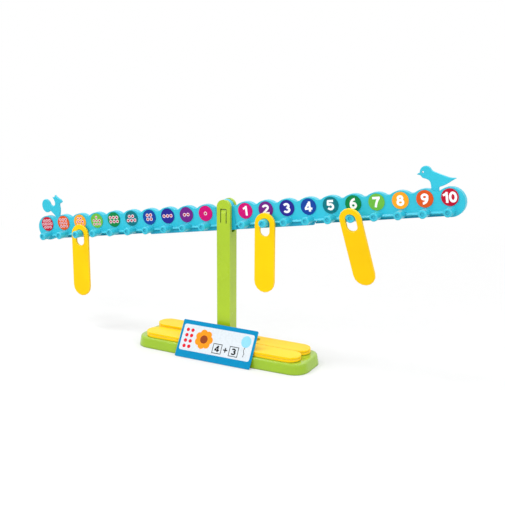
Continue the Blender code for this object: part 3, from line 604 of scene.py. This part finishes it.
@dataclass(frozen=True)
class PrintedFilm:
    """Ink on a thin varnished film or card."""

    name: str
    hue: Hue
    roughness: float = 0.36
    gloss: float = 0.07
    streak_depth: float = 0.10  # how much light the ink's streaks lose
    streak_scale: float = 420.0
    smear: float = 0.14  # how much handling roughens it
    smear_scale: float = 90.0
    fibre: float = 0.03  # how strongly the film's or card's texture shows
    fibre_scale: float = 2600.0
    fibre_height: float = 0.1 * MM
    dust: float = 0.03
    dust_colour: Rgba = (0.85, 0.85, 0.84, 1.0)

    def material(self, library: ShaderLibrary) -> bpy.types.Material:
        """Build the material.

        Args:
            library: The shared node groups.

        Returns:
            The finished material.
        """
        material, wiring, shader = new_material(self.name)
        colour = self.hue.linear()
        streak = deeper(colour, self.streak_depth)
        pigment = use_group(
            wiring, library.pigment, Colour=colour, Deep_Colour=streak, Scale=self.streak_scale
        )
        dust = use_group(wiring, library.dust, Amount=self.dust)
        dusty = wiring.blend(dust.outputs["Mask"], pigment.outputs["Colour"], self.dust_colour)
        wiring.join(dusty, shader.inputs["Base Color"])
        haze = use_group(wiring, library.haze, Scale=self.smear_scale)
        roughest = self.roughness + self.smear
        rough = wiring.spread(haze.outputs["Mask"], 0.0, 1.0, self.roughness, roughest)
        wiring.join(rough, shader.inputs["Roughness"])
        grain = use_group(wiring, library.grain, Scale=self.fibre_scale)
        raise_grain(wiring, shader, grain.outputs["Height"], self.fibre, self.fibre_height)
        shader.inputs["Specular IOR Level"].default_value = self.gloss
        return material


@dataclass
class FinishRack:
    """All the finishes, built on first use."""

    library: ShaderLibrary
    made: dict[str, bpy.types.Material] = field(default_factory=dict)

    def get(self, finish: MouldedPlastic | PrintedFilm) -> bpy.types.Material:
        """Find a finish's material, or build it on first use.

        Args:
            finish: The finish.

        Returns:
            Its material.
        """
        if finish.name not in self.made:
            self.made[finish.name] = finish.material(self.library)
        return self.made[finish.name]


# The sky plastic's grooves and corners take a deep, wide painted shade.
SKY_PLASTIC = MouldedPlastic("sky_moulded", Hue.SKY, groove_depth=0.85, groove_reach=9.0 * MM)
# The beam's centre is painted darker towards its bottom, as shade under the arms' lip.
SKY_CENTRE_WITH_PAINTED_SHADE = MouldedPlastic(
    "sky_centre_with_painted_shade", Hue.SKY, groove_depth=0.85, groove_reach=9.0 * MM,
    shaded_below=10.0 * MM, shade_softness=9.0 * MM,
)
# The rails' lower parts are the sky plastic in painted shade, with less gloss.
SKY_RAIL_PAINTED_SHADE = MouldedPlastic("sky_painted_lip_shade", Hue.DEEP_SKY, gloss=0.08, coat=0.0, edge_radius=0.3 * MM)
# The post's grooves and slot take a strong painted shade.
LIME_PLASTIC = MouldedPlastic(
    "lime_moulded", Hue.LIME, roughness=0.22, gloss=0.30, coat=0.22, groove_depth=2.2,
)
LIME_HULL = MouldedPlastic(
    "lime_hull", Hue.HULL_LIME, roughness=0.14, gloss=0.34, coat=0.35, edge_radius=3.0 * MM, edge_lift=0.10,
)
# The plates' edges are painted paler, partly as a highlight and partly as rubbing wear.
SUNNY_PLASTIC = MouldedPlastic("sunny_moulded", Hue.SUNNY, gloss=0.12, coat=0.0, edge_lift=0.45)


def dress(node: str, material: bpy.types.Material) -> None:
    """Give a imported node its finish.

    Args:
        node: The node's name.
        material: The finish.
    """
    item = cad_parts[node]
    if item.material_slots:
        for slot in item.material_slots:
            slot.link = "OBJECT"
            slot.material = material
    else:
        item.data.materials.append(material)
    LOG.info("dressed %s in %s", node, material.name)


def new_object(name: str, data: bpy.types.ID) -> bpy.types.Object:
    """Make an object and put it in the scene.

    Args:
        name: The object's name.
        data: Its mesh, camera or lamp.

    Returns:
        The new object.
    """
    item = bpy.data.objects.new(name, data)
    bpy.context.scene.collection.objects.link(item)
    return item


def new_mesh(name: str, bm: bmesh.types.BMesh) -> bpy.types.Mesh:
    """Turn what was built into a mesh, and free it.

    Args:
        name: The mesh's name.
        bm: What was built, which can't be used afterwards.

    Returns:
        The mesh.
    """
    mesh = bpy.data.meshes.new(name)
    bm.to_mesh(mesh)
    bm.free()
    return mesh


def ellipse(centre: Point, radii: Point, start: float, end: float, steps: int = 16) -> Outline:
    """Return points on part of an ellipse.

    Args:
        centre: Its centre.
        radii: Its half width and half height.
        start: The first point's angle in degrees.
        end: The last point's angle in degrees.
        steps: How many steps lie between them.

    Returns:
        The points, both ends included.
    """
    points = []
    for step in range(steps + 1):
        angle = math.radians(start + (end - start) * step / steps)
        points.append((centre[0] + radii[0] * math.cos(angle), centre[1] + radii[1] * math.sin(angle)))
    return points


def ring(centre: Point, radii: Point, corners: int = 24) -> Outline:
    """Return a whole ellipse as a closed outline.

    Args:
        centre: Its centre.
        radii: Its half width and half height.
        corners: How many corners it has.

    Returns:
        The outline, counter-clockwise, its first corner not repeated.
    """
    return ellipse(centre, radii, 0, 360 - 360 / corners, corners - 1)


def disc(centre: Point, radius: float, corners: int = 24) -> Outline:
    """Return a round outline."""
    return ring(centre, (radius, radius), corners)


def rounded_box(centre: Point, size: Point, radius: float, corner_steps: int = 5) -> Outline:
    """Return a rectangle with round corners.

    Args:
        centre: Its centre.
        size: Its width and height.
        radius: The corners' radius.
        corner_steps: How many steps each corner has.

    Returns:
        The outline, counter-clockwise.
    """
    half_x = size[0] / 2 - radius
    half_z = size[1] / 2 - radius
    points: Outline = []
    for side_x, side_z, start in ((1, -1, -90), (1, 1, 0), (-1, 1, 90), (-1, -1, 180)):
        corner = (centre[0] + side_x * half_x, centre[1] + side_z * half_z)
        points += ellipse(corner, (radius, radius), start, start + 90, corner_steps)
    return points


@dataclass(frozen=True)
class Stroke:
    """One line of a numeral or sign, drawn with a broad pen."""

    points: Outline
    width: float
    closed: bool = False

    SHARPEST = 0.6  # the least cosine of half a corner's turn that the pen still reaches out for

    def _side(self, index: int) -> Vector:
        """Find the pen's half width across the line.

        Args:
            index: The point that it is wanted at.

        Returns:
            The step from the line's middle to its left side.
        """
        count = len(self.points)
        here = Vector(self.points[index])
        before = Vector(self.points[index - 1]) if index or self.closed else None
        after = Vector(self.points[(index + 1) % count]) if index < count - 1 or self.closed else None
        lines = [(here - before).normalized()] if before is not None else []
        lines += [(after - here).normalized()] if after is not None else []
        along = sum(lines, Vector((0.0, 0.0))).normalized()
        stretch = 1.0 / max(self.SHARPEST, along.dot(lines[0]))
        return Vector((-along.y, along.x)) * (self.width / 2 * stretch)

    def polygons(self) -> list[Outline]:
        """Draw the line.

        Returns:
            The quads that the pen covers, one for each stretch.
        """
        count = len(self.points)
        quads = []
        for index in range(count if self.closed else count - 1):
            after = (index + 1) % count
            start, end = Vector(self.points[index]), Vector(self.points[after])
            near, far = self._side(index), self._side(after)
            quads.append([tuple(start - near), tuple(end - far), tuple(end + far), tuple(start + near)])
        return quads


class Numeral:
    """Bold plain numerals, drawn by strokes in a cell one unit high."""

    PEN = 0.225
    BREADTH = 1.3  # how much broader than the cell's strokes the digits are drawn
    ADVANCE = 0.66  # from one digit's middle to the next's

    def __init__(self, text: str) -> None:
        """Keep the digits.

        Args:
            text: The digits to draw.
        """
        self.text = text

    def _digit(self, digit: str) -> list[Stroke]:
        """Draw one digit, centred on its cell.

        Args:
            digit: The digit.

        Returns:
            Its strokes.
        """
        pen = self.PEN
        if digit == "9":
            turned = self._digit("6")
            return [Stroke([(-x, -z) for x, z in line.points], line.width, line.closed) for line in turned]
        shapes: dict[str, list[Stroke]] = {
            "0": [Stroke(ring((0, 0), (0.205, 0.395)), pen, True)],
            "1": [Stroke([(0.07, -0.5), (0.07, 0.5)], pen), Stroke([(0.1, 0.38), (-0.2, 0.2)], pen * 0.9)],
            "2": [
                Stroke(ellipse((0.0, 0.19), (0.21, 0.205), 168, -32) + [(-0.2, -0.36)], pen),
                Stroke([(-0.3, -0.398), (0.3, -0.398)], pen),
            ],
            "3": [
                Stroke(ellipse((-0.02, 0.2), (0.195, 0.195), 158, -90), pen),
                Stroke(ellipse((-0.02, -0.185), (0.225, 0.21), 90, -158), pen),
            ],
            "4": [
                Stroke([(0.1, 0.5), (0.1, -0.5)], pen),
                Stroke([(-0.31, -0.21), (0.31, -0.21)], pen * 0.9),
                Stroke([(0.1, 0.44), (-0.26, -0.18)], pen * 0.85),
            ],
            "5": [
                Stroke([(0.26, 0.4), (-0.2, 0.4)], pen),
                Stroke([(-0.16, 0.45), (-0.2, -0.02)], pen * 0.9),
                Stroke(ellipse((0.0, -0.155), (0.215, 0.24), 142, -152), pen),
            ],
            "6": [
                Stroke(ring((0.0, -0.175), (0.2, 0.222)), pen, True),
                Stroke(ellipse((0.16, -0.13), (0.36, 0.54), 172, 88), pen),
            ],
            "7": [
                Stroke([(-0.29, 0.398), (0.3, 0.398)], pen),
                Stroke([(0.22, 0.4), (0.06, 0.08), (-0.04, -0.22), (-0.08, -0.5)], pen),
            ],
            "8": [
                Stroke(ring((0.0, 0.212), (0.165, 0.185)), pen * 0.95, True),
                Stroke(ring((0.0, -0.182), (0.205, 0.215)), pen, True),
            ],
        }
        return shapes[digit]

    def polygons(self, centre: Point, height: float) -> list[Outline]:
        """Draw the whole number.

        Args:
            centre: Where the number's middle goes.
            height: The digits' height.

        Returns:
            The digits' quads, in the same units as the centre.
        """
        quads: list[Outline] = []
        for index, digit in enumerate(self.text):
            for stroke in self._digit(digit):
                points = [(x * self.BREADTH + index * self.ADVANCE, z) for x, z in stroke.points]
                quads += Stroke(points, stroke.width, stroke.closed).polygons()
        across = [x for quad in quads for x, _ in quad]
        middle = (min(across) + max(across)) / 2
        places = []
        for quad in quads:
            places.append([(centre[0] + (x - middle) * height, centre[1] + z * height) for x, z in quad])
        return places


def ink_mesh(name: str, polygons: list[Outline], thickness: float) -> bpy.types.Mesh:
    """Fill overlapping outlines as one thin printed layer.

    Args:
        name: The mesh's name.
        polygons: Outlines in millimetres, x to the right and z up.
        thickness: How far the layer stands in front of y = 0, in metres.

    Returns:
        A closed mesh of their union.
    """
    corners: list[Vector] = []
    faces: list[list[int]] = []
    for polygon in polygons:
        faces.append(list(range(len(corners), len(corners) + len(polygon))))
        corners += [Vector(corner) for corner in polygon]
    spots, _, parts, _, _, sources = delaunay_2d_cdt(corners, [], faces, 0, MERGE)
    bm = bmesh.new()
    points = [bm.verts.new((spot.x * MM, 0.0, spot.y * MM)) for spot in spots]
    for part, source in zip(parts, sources):
        if source:
            bm.faces.new([points[index] for index in part])
    grown = bmesh.ops.extrude_face_region(bm, geom=list(bm.faces))
    moved = [item for item in grown["geom"] if isinstance(item, bmesh.types.BMVert)]
    bmesh.ops.translate(bm, verts=moved, vec=(0.0, -thickness, 0.0))
    loose = [vertex for vertex in bm.verts if not vertex.link_faces]
    bmesh.ops.delete(bm, geom=loose, context="VERTS")
    bmesh.ops.recalc_face_normals(bm, faces=bm.faces)
    return new_mesh(name, bm)


def lay_ink(
    name: str, polygons: list[Outline], place: Matrix, material: bpy.types.Material,
    body: Body, thickness: float = 0.05 * MM,
) -> None:
    """Print outlines onto a face as one piece.

    Args:
        name: The piece's name.
        polygons: Outlines in millimetres.
        place: The face's place: its x to the right, its z up, its y into the face.
        material: The ink.
        body: The body that the piece rides on.
        thickness: The layer's thickness in metres.
    """
    piece = new_object(name, ink_mesh(name, polygons, thickness))
    piece.data.materials.append(material)
    piece.matrix_world = place
    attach(piece, body.value)
    LOG.info("printed %s on the %s", name, body.value)


@dataclass
class Stand:
    """The base and the post."""

    base: str = "base_shell"
    post: str = "post"

    def dress(self, rack: FinishRack) -> None:
        """Give both mouldings their plastic, the base's with a rounder, glossier edge."""
        dress(self.base, rack.get(LIME_HULL))
        dress(self.post, rack.get(LIME_PLASTIC))


@dataclass
class Beam:
    """The beam, its two figures and what is printed on its discs."""

    centre: str = "beam_centre"
    mouldings: tuple[str, ...] = ("left_arm", "right_arm", "bird", "squirrel")
    slot: str = "sky_plastic"
    rail_start: float = 110.6 * MM  # the rails' heights are over the pivot, in the level beam
    rail_end: float = 257.0 * MM
    rail_front: float = 0.50 * MM
    rail_thick: float = 1.8 * MM
    rail_top: float = -18.2 * MM
    rail_bottom: float = -20.1 * MM
    rail_soft: float = 0.4 * MM
    core_ink: float = 0.09 * MM  # the cores stand in front of their dots
    numeral_height: float = 11.2  # in millimetres, as the dots' sizes are
    dot_radius: float = 2.15
    dot_gap: float = 4.9
    crowded: int = 6  # past this many, the dots are smaller and stand closer
    crowded_radius: float = 1.75
    crowded_gap: float = 4.3
    core_share: float = 0.58
    dot_corners: int = 18
    core_corners: int = 12
    rows: dict[int, tuple[int, ...]] = field(default_factory=lambda: {
        1: (1,), 2: (2,), 3: (3,), 4: (2, 2), 5: (2, 3),
        6: (3, 3), 7: (1, 3, 3), 8: (2, 3, 3), 9: (3, 3, 3), 10: (3, 4, 3),
    })

    def _rail(self, name: str, side: int) -> bpy.types.Mesh:
        """Build the lower part of the rail under one arm, with a soft bottom edge.

        Args:
            name: The mesh's name.
            side: 1 for the right arm, -1 for the left one.

        Returns:
            The mesh, in the level beam's frame with its origin at the pivot.
        """
        bm = bmesh.new()
        low, high = self.rail_bottom, self.rail_top
        front, back, soft = self.rail_front, self.rail_front + self.rail_thick, self.rail_soft
        outline = [(front, high), (front, low + soft), (front + soft, low)]
        outline += [(back - soft, low), (back, low + soft), (back, high)]
        reach = (side * self.rail_start, side * self.rail_end)
        ends = [[bm.verts.new((x, y, z)) for y, z in outline] for x in reach]
        for index in range(len(outline)):
            after = (index + 1) % len(outline)
            bm.faces.new((ends[0][index], ends[0][after], ends[1][after], ends[1][index]))
        bm.faces.new(ends[0])
        bm.faces.new(ends[1])
        bmesh.ops.recalc_face_normals(bm, faces=bm.faces)
        return new_mesh(name, bm)

    def _lay_rails(self, rack: FinishRack) -> None:
        """Put the rails' lower parts under both arms, coloured in a painted shade.

        Args:
            rack: The finishes.
        """
        for name, side in (("left_rail_edge", -1), ("right_rail_edge", 1)):
            piece = new_object(name, self._rail(name, side))
            piece.data.materials.append(rack.get(SKY_RAIL_PAINTED_SHADE))
            piece.matrix_world = self._tilted(Vector((0.0, 0.0, PIVOT)))
            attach(piece, Body.BEAM.value)
            LOG.info("laid %s on the %s", name, Body.BEAM.value)

    @staticmethod
    def _tilted(origin: Vector) -> Matrix:
        """Return a place that is tilted as the beam is."""
        return Matrix.Translation(origin) @ Matrix.Rotation(-TILT, 4, "Y")

    def _face(self, node: str) -> Matrix:
        """Find a disc's front face.

        Args:
            node: The disc's name.

        Returns:
            The place of the face's middle, tilted with the beam.
        """
        low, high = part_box(node)
        centre = (low + high) / 2
        return self._tilted(Vector((centre.x, low.y, centre.z)))

    def _dots(self, count: int) -> list[Point]:
        """Set out a disc's dots in rows.

        Args:
            count: How many dots the disc has.

        Returns:
            Their places, from the disc's middle.
        """
        gap = self.dot_gap if count <= self.crowded else self.crowded_gap
        rows = self.rows[count]
        spots: list[Point] = []
        for index, number in enumerate(rows):
            height = gap * ((len(rows) - 1) / 2 - index)
            spots += [(gap * (spot - (number - 1) / 2), height) for spot in range(number)]
        return spots

    def build(self, rack: FinishRack) -> None:
        """Lay the rails, and print the numerals on the right discs and the dots on the left ones.

        Args:
            rack: The finishes.
        """
        self._lay_rails(rack)
        white = rack.get(PrintedFilm("white_ink", Hue.INK_WHITE, roughness=0.3))
        blush = rack.get(PrintedFilm("blush_ink", Hue.RING_BLUSH))
        red = rack.get(PrintedFilm("core_ink", Hue.CORE_RED))
        for place in self.rows:
            digits = Numeral(str(place)).polygons((0.0, 0.0), self.numeral_height)
            face = self._face("number_disc_%d" % place)
            lay_ink("numeral_%d" % place, digits, face, white, Body.BEAM)
            radius = self.dot_radius if place <= self.crowded else self.crowded_radius
            spots = self._dots(place)
            dots = [disc(spot, radius, self.dot_corners) for spot in spots]
            cores = [disc(spot, radius * self.core_share, self.core_corners) for spot in spots]
            face = self._face("dot_disc_%d" % place)
            lay_ink("dots_%d" % place, dots, face, blush, Body.BEAM)
            lay_ink("dot_cores_%d" % place, cores, face, red, Body.BEAM, self.core_ink)

    def dress(self, rack: FinishRack) -> None:
        """Give the mouldings their plastic and the discs their ink.

        Args:
            rack: The finishes.
        """
        dress(self.centre, rack.get(SKY_CENTRE_WITH_PAINTED_SHADE))
        for node in self.mouldings:
            dress(node, rack.get(SKY_PLASTIC))
        for place, hue in enumerate(DISC_HUES, start=1):
            film = rack.get(PrintedFilm("film_%s" % hue.name.lower(), hue, roughness=0.30, gloss=0.16))
            for kind in ("number", "dot"):
                dress("%s_disc_%d" % (kind, place), film)


@dataclass
class WeightSet:
    """The yellow plates, hung and stored."""

    prefixes: tuple[str, ...] = ("hung_weight", "stored_weight")

    def dress(self, rack: FinishRack) -> None:
        """Give every plate its plastic.

        Args:
            rack: The finishes.
        """
        for node in sorted(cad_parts):
            if node.startswith(self.prefixes):
                dress(node, rack.get(SUNNY_PLASTIC))


@dataclass
class QuestionCard:
    """The card in front of the base: a blue border, a white panel and a plain counting picture."""

    node: str = "question_card"
    slot: str = "card_print"
    lean: float = math.radians(31.0)
    thickness: float = 0.8 * MM
    ink: float = 0.04 * MM
    height: float = 45.5  # from here on in millimetres, from the middle of the card's foot
    width: float = 100.0
    side_border: float = 3.0
    top_border: float = 5.2
    bottom_border: float = 8.6
    panel_corner: float = 2.6
    counter_columns: tuple[float, ...] = (-41.0, -34.5)
    counter_rows: tuple[float, ...] = (13.8, 20.4, 27.0, 33.6)
    counter_radius: float = 2.2
    flower: Point = (-17.0, 25.0)
    petals: int = 7
    petal_reach: float = 7.4
    petal_radius: float = 4.6
    heart_radius: float = 5.0
    balloon: Point = (38.0, 31.0)
    balloon_radii: Point = (6.4, 7.0)
    string: tuple[Point, ...] = ((38.0, 24.3), (37.2, 20.4), (38.6, 16.6), (37.8, 12.8))
    string_width: float = 0.7
    sum_height: float = 17.0
    boxes: tuple[tuple[str, float], ...] = (("4", 3.0), ("3", 25.0))
    box_side: float = 11.2
    box_line: float = 0.8
    digit_height: float = 7.8
    plus_reach: float = 2.7
    plus_line: float = 1.4

    def _face(self, lift: float) -> Matrix:
        """Find the card's front face.

        Args:
            lift: How far in front of the face the place is, in metres.

        Returns:
            The place of the foot's middle, leaning with the card.
        """
        low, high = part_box(self.node)
        foot_y = low.y + self.thickness * math.cos(self.lean)
        middle = (low.x + high.x) / 2
        face = Matrix.Translation((middle, foot_y, 0.0)) @ Matrix.Rotation(-self.lean, 4, "X")
        return face @ Matrix.Translation((0.0, -self.thickness - lift, 0.0))

    def _panel(self) -> list[Outline]:
        """Draw the white panel inside the borders.

        Returns:
            Its outline.
        """
        tall = self.height - self.top_border - self.bottom_border
        centre = (0.0, self.bottom_border + tall / 2)
        return [rounded_box(centre, (self.width - 2 * self.side_border, tall), self.panel_corner)]

    def _frame(self, centre: Point) -> list[Outline]:
        """Draw a square box round a digit.

        Args:
            centre: The box's middle.

        Returns:
            Its four lines.
        """
        half = self.box_side / 2
        corners = [(-half, -half), (half, -half), (half, half), (-half, half)]
        return Stroke([(centre[0] + x, centre[1] + z) for x, z in corners], self.box_line, True).polygons()

    def _petals(self) -> list[Outline]:
        """Draw the flower's petals, in a ring.

        Returns:
            A disc for each petal.
        """
        middles = disc(self.flower, self.petal_reach, self.petals)
        return [disc(middle, self.petal_radius) for middle in middles]

    def _sum(self) -> list[Outline]:
        """Draw two boxes with a digit in each, and a plus sign between them.

        Returns:
            The quads of all their lines.
        """
        quads: list[Outline] = []
        for digit, across in self.boxes:
            quads += self._frame((across, self.sum_height))
            quads += Numeral(digit).polygons((across, self.sum_height), self.digit_height)
        middle = sum(across for _, across in self.boxes) / len(self.boxes)
        reach = self.plus_reach
        for x, z in ((reach, 0.0), (0.0, reach)):
            line = [(middle - x, self.sum_height - z), (middle + x, self.sum_height + z)]
            quads += Stroke(line, self.plus_line).polygons()
        return quads

    def build(self, rack: FinishRack) -> None:
        """Print the panel, the counters, a flower, a balloon and a sum.

        Args:
            rack: The finishes.
        """
        spots = [(x, z) for x in self.counter_columns for z in self.counter_rows]
        counters = [disc(spot, self.counter_radius) for spot in spots]
        heart = [disc(self.flower, self.heart_radius)]
        balloon = [ring(self.balloon, self.balloon_radii)]
        string = Stroke(list(self.string), self.string_width).polygons()
        black = PrintedFilm("black_ink", Hue.INK_BLACK)
        prints = (
            ("card_panel", self._panel(), 0, PrintedFilm("panel_white", Hue.PANEL_WHITE, roughness=0.4)),
            ("card_counters", counters, 1, PrintedFilm("counter_red", Hue.DOT_RED)),
            ("card_petals", self._petals(), 1, PrintedFilm("petal_orange", Hue.PETAL_ORANGE)),
            ("card_flower_heart", heart, 2, PrintedFilm("petal_brown", Hue.PETAL_BROWN)),
            ("card_balloon", balloon, 1, PrintedFilm("balloon_blue", Hue.PALE_BLUE)),
            ("card_balloon_string", string, 1, black),
            ("card_sum", self._sum(), 1, black),
        )
        for name, outlines, layer, film in prints:
            face = self._face(layer * self.ink)
            lay_ink(name, outlines, face, rack.get(film), Body.CARD, self.ink)

    def dress(self, rack: FinishRack) -> None:
        """Give the card its printed blue."""
        dress(self.node, rack.get(PrintedFilm("card_blue", Hue.CARD_BLUE)))


@dataclass(frozen=True)
class Lamp:
    """One soft rectangular lamp that points at the object's middle."""

    name: str
    place: Place
    size: Point
    power: float  # in watts

    AIM = Vector((0.0, 0.0, 0.12))

    def build(self) -> None:
        """Hang the lamp."""
        data = bpy.data.lights.new(self.name, "AREA")
        data.shape = "RECTANGLE"
        data.size, data.size_y = self.size
        data.energy = self.power
        lamp = new_object(self.name, data)
        lamp.location = self.place
        lamp.rotation_mode = "QUATERNION"
        lamp.rotation_quaternion = (self.AIM - Vector(self.place)).to_track_quat("-Z", "Y")
        LOG.info("hung %s", self.name)


@dataclass
class Studio:
    """Camera, lamps, world and floor."""

    azimuth: float = math.radians(27.43)
    elevation: float = math.radians(13.98)
    roll: float = math.radians(0.34)
    distance: float = 1.08345
    target: Place = (0.03264, 0.00245, 0.12759)
    focal_pixels: float = 938.6
    image_pixels: float = 505.0
    sensor: float = 36.0  # in millimetres, as Blender's lens is
    nearest: float = 0.05
    farthest: float = 50.0
    lamps: tuple[Lamp, ...] = (
        Lamp("key_lamp", (0.3, -1.75, 1.45), (1.3, 1.3), 13.5),
        Lamp("strip_lamp", (-1.05, -2.0, 0.95), (1.2, 0.10), 6.0),
        Lamp("high_lamp", (-0.95, -0.5, 1.85), (0.6, 0.6), 14.0),
        Lamp("left_lamp", (-1.8, -1.1, 1.0), (1.4, 1.4), 4.0),
        Lamp("right_lamp", (1.9, -0.4, 1.0), (1.4, 1.4), 15.0),
        Lamp("back_lamp", (0.1, 1.1, 1.9), (1.6, 1.6), 10.0),
    )
    ambient: float = 0.70  # the surround's strength as a light
    floor_rings: tuple[float, ...] = (0.4, 1.2, 3.0, 8.0)
    floor_corners: int = 96
    floor_gap: float = 0.2 * MM  # how far below the object's foot it lies
    floor_bounce: float = 0.55  # how pale the paper is as a light on the object
    floor_tone: float = 0.73  # how pale it looks, before its glow
    floor_drift: float = 0.03
    fibre_scale: float = 60.0
    floor_glow: float = 0.30  # the glow's share near the object, where the shadow lies
    white_from: float = 0.26  # how far from its middle the floor starts to turn white
    white_at: float = 0.85

    def camera(self) -> None:
        """Place the camera where the photograph was taken from."""
        back = Vector((
            math.sin(self.azimuth) * math.cos(self.elevation),
            -math.cos(self.azimuth) * math.cos(self.elevation),
            math.sin(self.elevation),
        ))
        level = Vector((math.cos(self.azimuth), math.sin(self.azimuth), 0.0))
        rise = back.cross(level)
        right = math.cos(self.roll) * level + math.sin(self.roll) * rise
        upward = math.cos(self.roll) * rise - math.sin(self.roll) * level
        data = bpy.data.cameras.new("camera")
        data.sensor_width = self.sensor
        data.lens = self.focal_pixels / self.image_pixels * self.sensor
        data.clip_start = self.nearest
        data.clip_end = self.farthest
        camera = new_object("camera", data)
        place = Vector(self.target) + back * self.distance
        turn = Matrix((right, upward, back)).transposed().to_4x4()
        camera.matrix_world = Matrix.Translation(place) @ turn
        bpy.context.scene.camera = camera

    @staticmethod
    def _seen(wiring: NodeTree) -> bpy.types.NodeSocket:
        """Tell rays that show the background from rays that carry light to the object.

        Args:
            wiring: The material's or world's wiring.

        Returns:
            A socket that is 1 for rays from the camera, from gloss and through glass.
        """
        path = wiring.add("ShaderNodeLightPath")
        first = wiring.math("MAXIMUM", path.outputs["Is Camera Ray"], path.outputs["Is Glossy Ray"])
        return wiring.math("MAXIMUM", first, path.outputs["Is Transmission Ray"])

    def world(self) -> None:
        """Make a white surround that lights the object at a plain level."""
        world = bpy.data.worlds.new("studio_surround")
        bpy.context.scene.world = world
        world.use_nodes = True
        wiring = NodeTree(world.node_tree)
        shader = world.node_tree.nodes["Background"]
        shader.inputs["Color"].default_value = WHITE
        strength = wiring.spread(self._seen(wiring), 0.0, 1.0, self.ambient, 1.0)
        wiring.join(strength, shader.inputs["Strength"])

    def floor(self) -> None:
        """Lay a pale round floor that keeps the shadow near the object and turns white far away."""
        bm = bmesh.new()
        centre = bm.verts.new((0.0, 0.0, 0.0))
        rings: list[list[bmesh.types.BMVert]] = []
        for radius in self.floor_rings:
            circle = disc((0.0, 0.0), radius, self.floor_corners)
            rings.append([bm.verts.new((x, y, 0.0)) for x, y in circle])
        for index in range(self.floor_corners):
            after = (index + 1) % self.floor_corners
            bm.faces.new((centre, rings[0][index], rings[0][after]))
            for inner, outer in zip(rings, rings[1:]):
                bm.faces.new((inner[index], outer[index], outer[after], inner[after]))
        floor = new_object("studio_floor", new_mesh("studio_floor", bm))
        floor.location.z = -self.floor_gap
        floor.data.materials.append(self._floor_material())

    def _floor_material(self) -> bpy.types.Material:
        """Build the floor's finish: matt pale paper, which turns white with distance where it is seen.

        Returns:
            The finished material.
        """
        material, wiring, principled = new_material("studio_paper")
        tree = material.node_tree
        tree.nodes.remove(principled)
        paper = wiring.add("ShaderNodeBsdfDiffuse")
        place = wiring.own_place()
        fibre = wiring.noise(place, self.fibre_scale, detail=4.0)
        tone = wiring.blend(fibre, grey(self.floor_tone), grey(self.floor_tone + self.floor_drift))
        seen = self._seen(wiring)
        wiring.join(wiring.blend(seen, grey(self.floor_bounce), tone), paper.inputs["Color"])
        glow = wiring.add("ShaderNodeEmission")
        glow.inputs["Color"].default_value = WHITE
        distance = wiring.add("ShaderNodeVectorMath", operation="LENGTH")
        wiring.join(place, distance.inputs[0])
        far = wiring.spread(distance.outputs["Value"], self.white_from, self.white_at, self.floor_glow, 1.0)
        share = wiring.math("MULTIPLY", far, seen)
        mixed = wiring.add("ShaderNodeMixShader")
        wiring.join(share, mixed.inputs[0])
        wiring.join(paper.outputs[0], mixed.inputs[1])
        wiring.join(glow.outputs[0], mixed.inputs[2])
        wiring.join(mixed.outputs[0], tree.nodes["Material Output"].inputs["Surface"])
        return material

    def build(self) -> None:
        """Set up the whole studio."""
        self.camera()
        for lamp in self.lamps:
            lamp.build()
        self.world()
        self.floor()
        bpy.context.scene.view_settings.view_transform = "Standard"
        LOG.info("studio is set")


def main() -> None:
    """Dress the balance and set the studio."""
    logging.basicConfig(level=logging.INFO, format="%(name)s: %(message)s")
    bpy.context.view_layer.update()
    rack = FinishRack(ShaderLibrary())
    beam = Beam()
    card = QuestionCard()
    Stand().dress(rack)
    beam.dress(rack)
    beam.build(rack)
    WeightSet().dress(rack)
    card.dress(rack)
    card.build(rack)
    Studio().build()


if __name__ == "__main__":
    main()
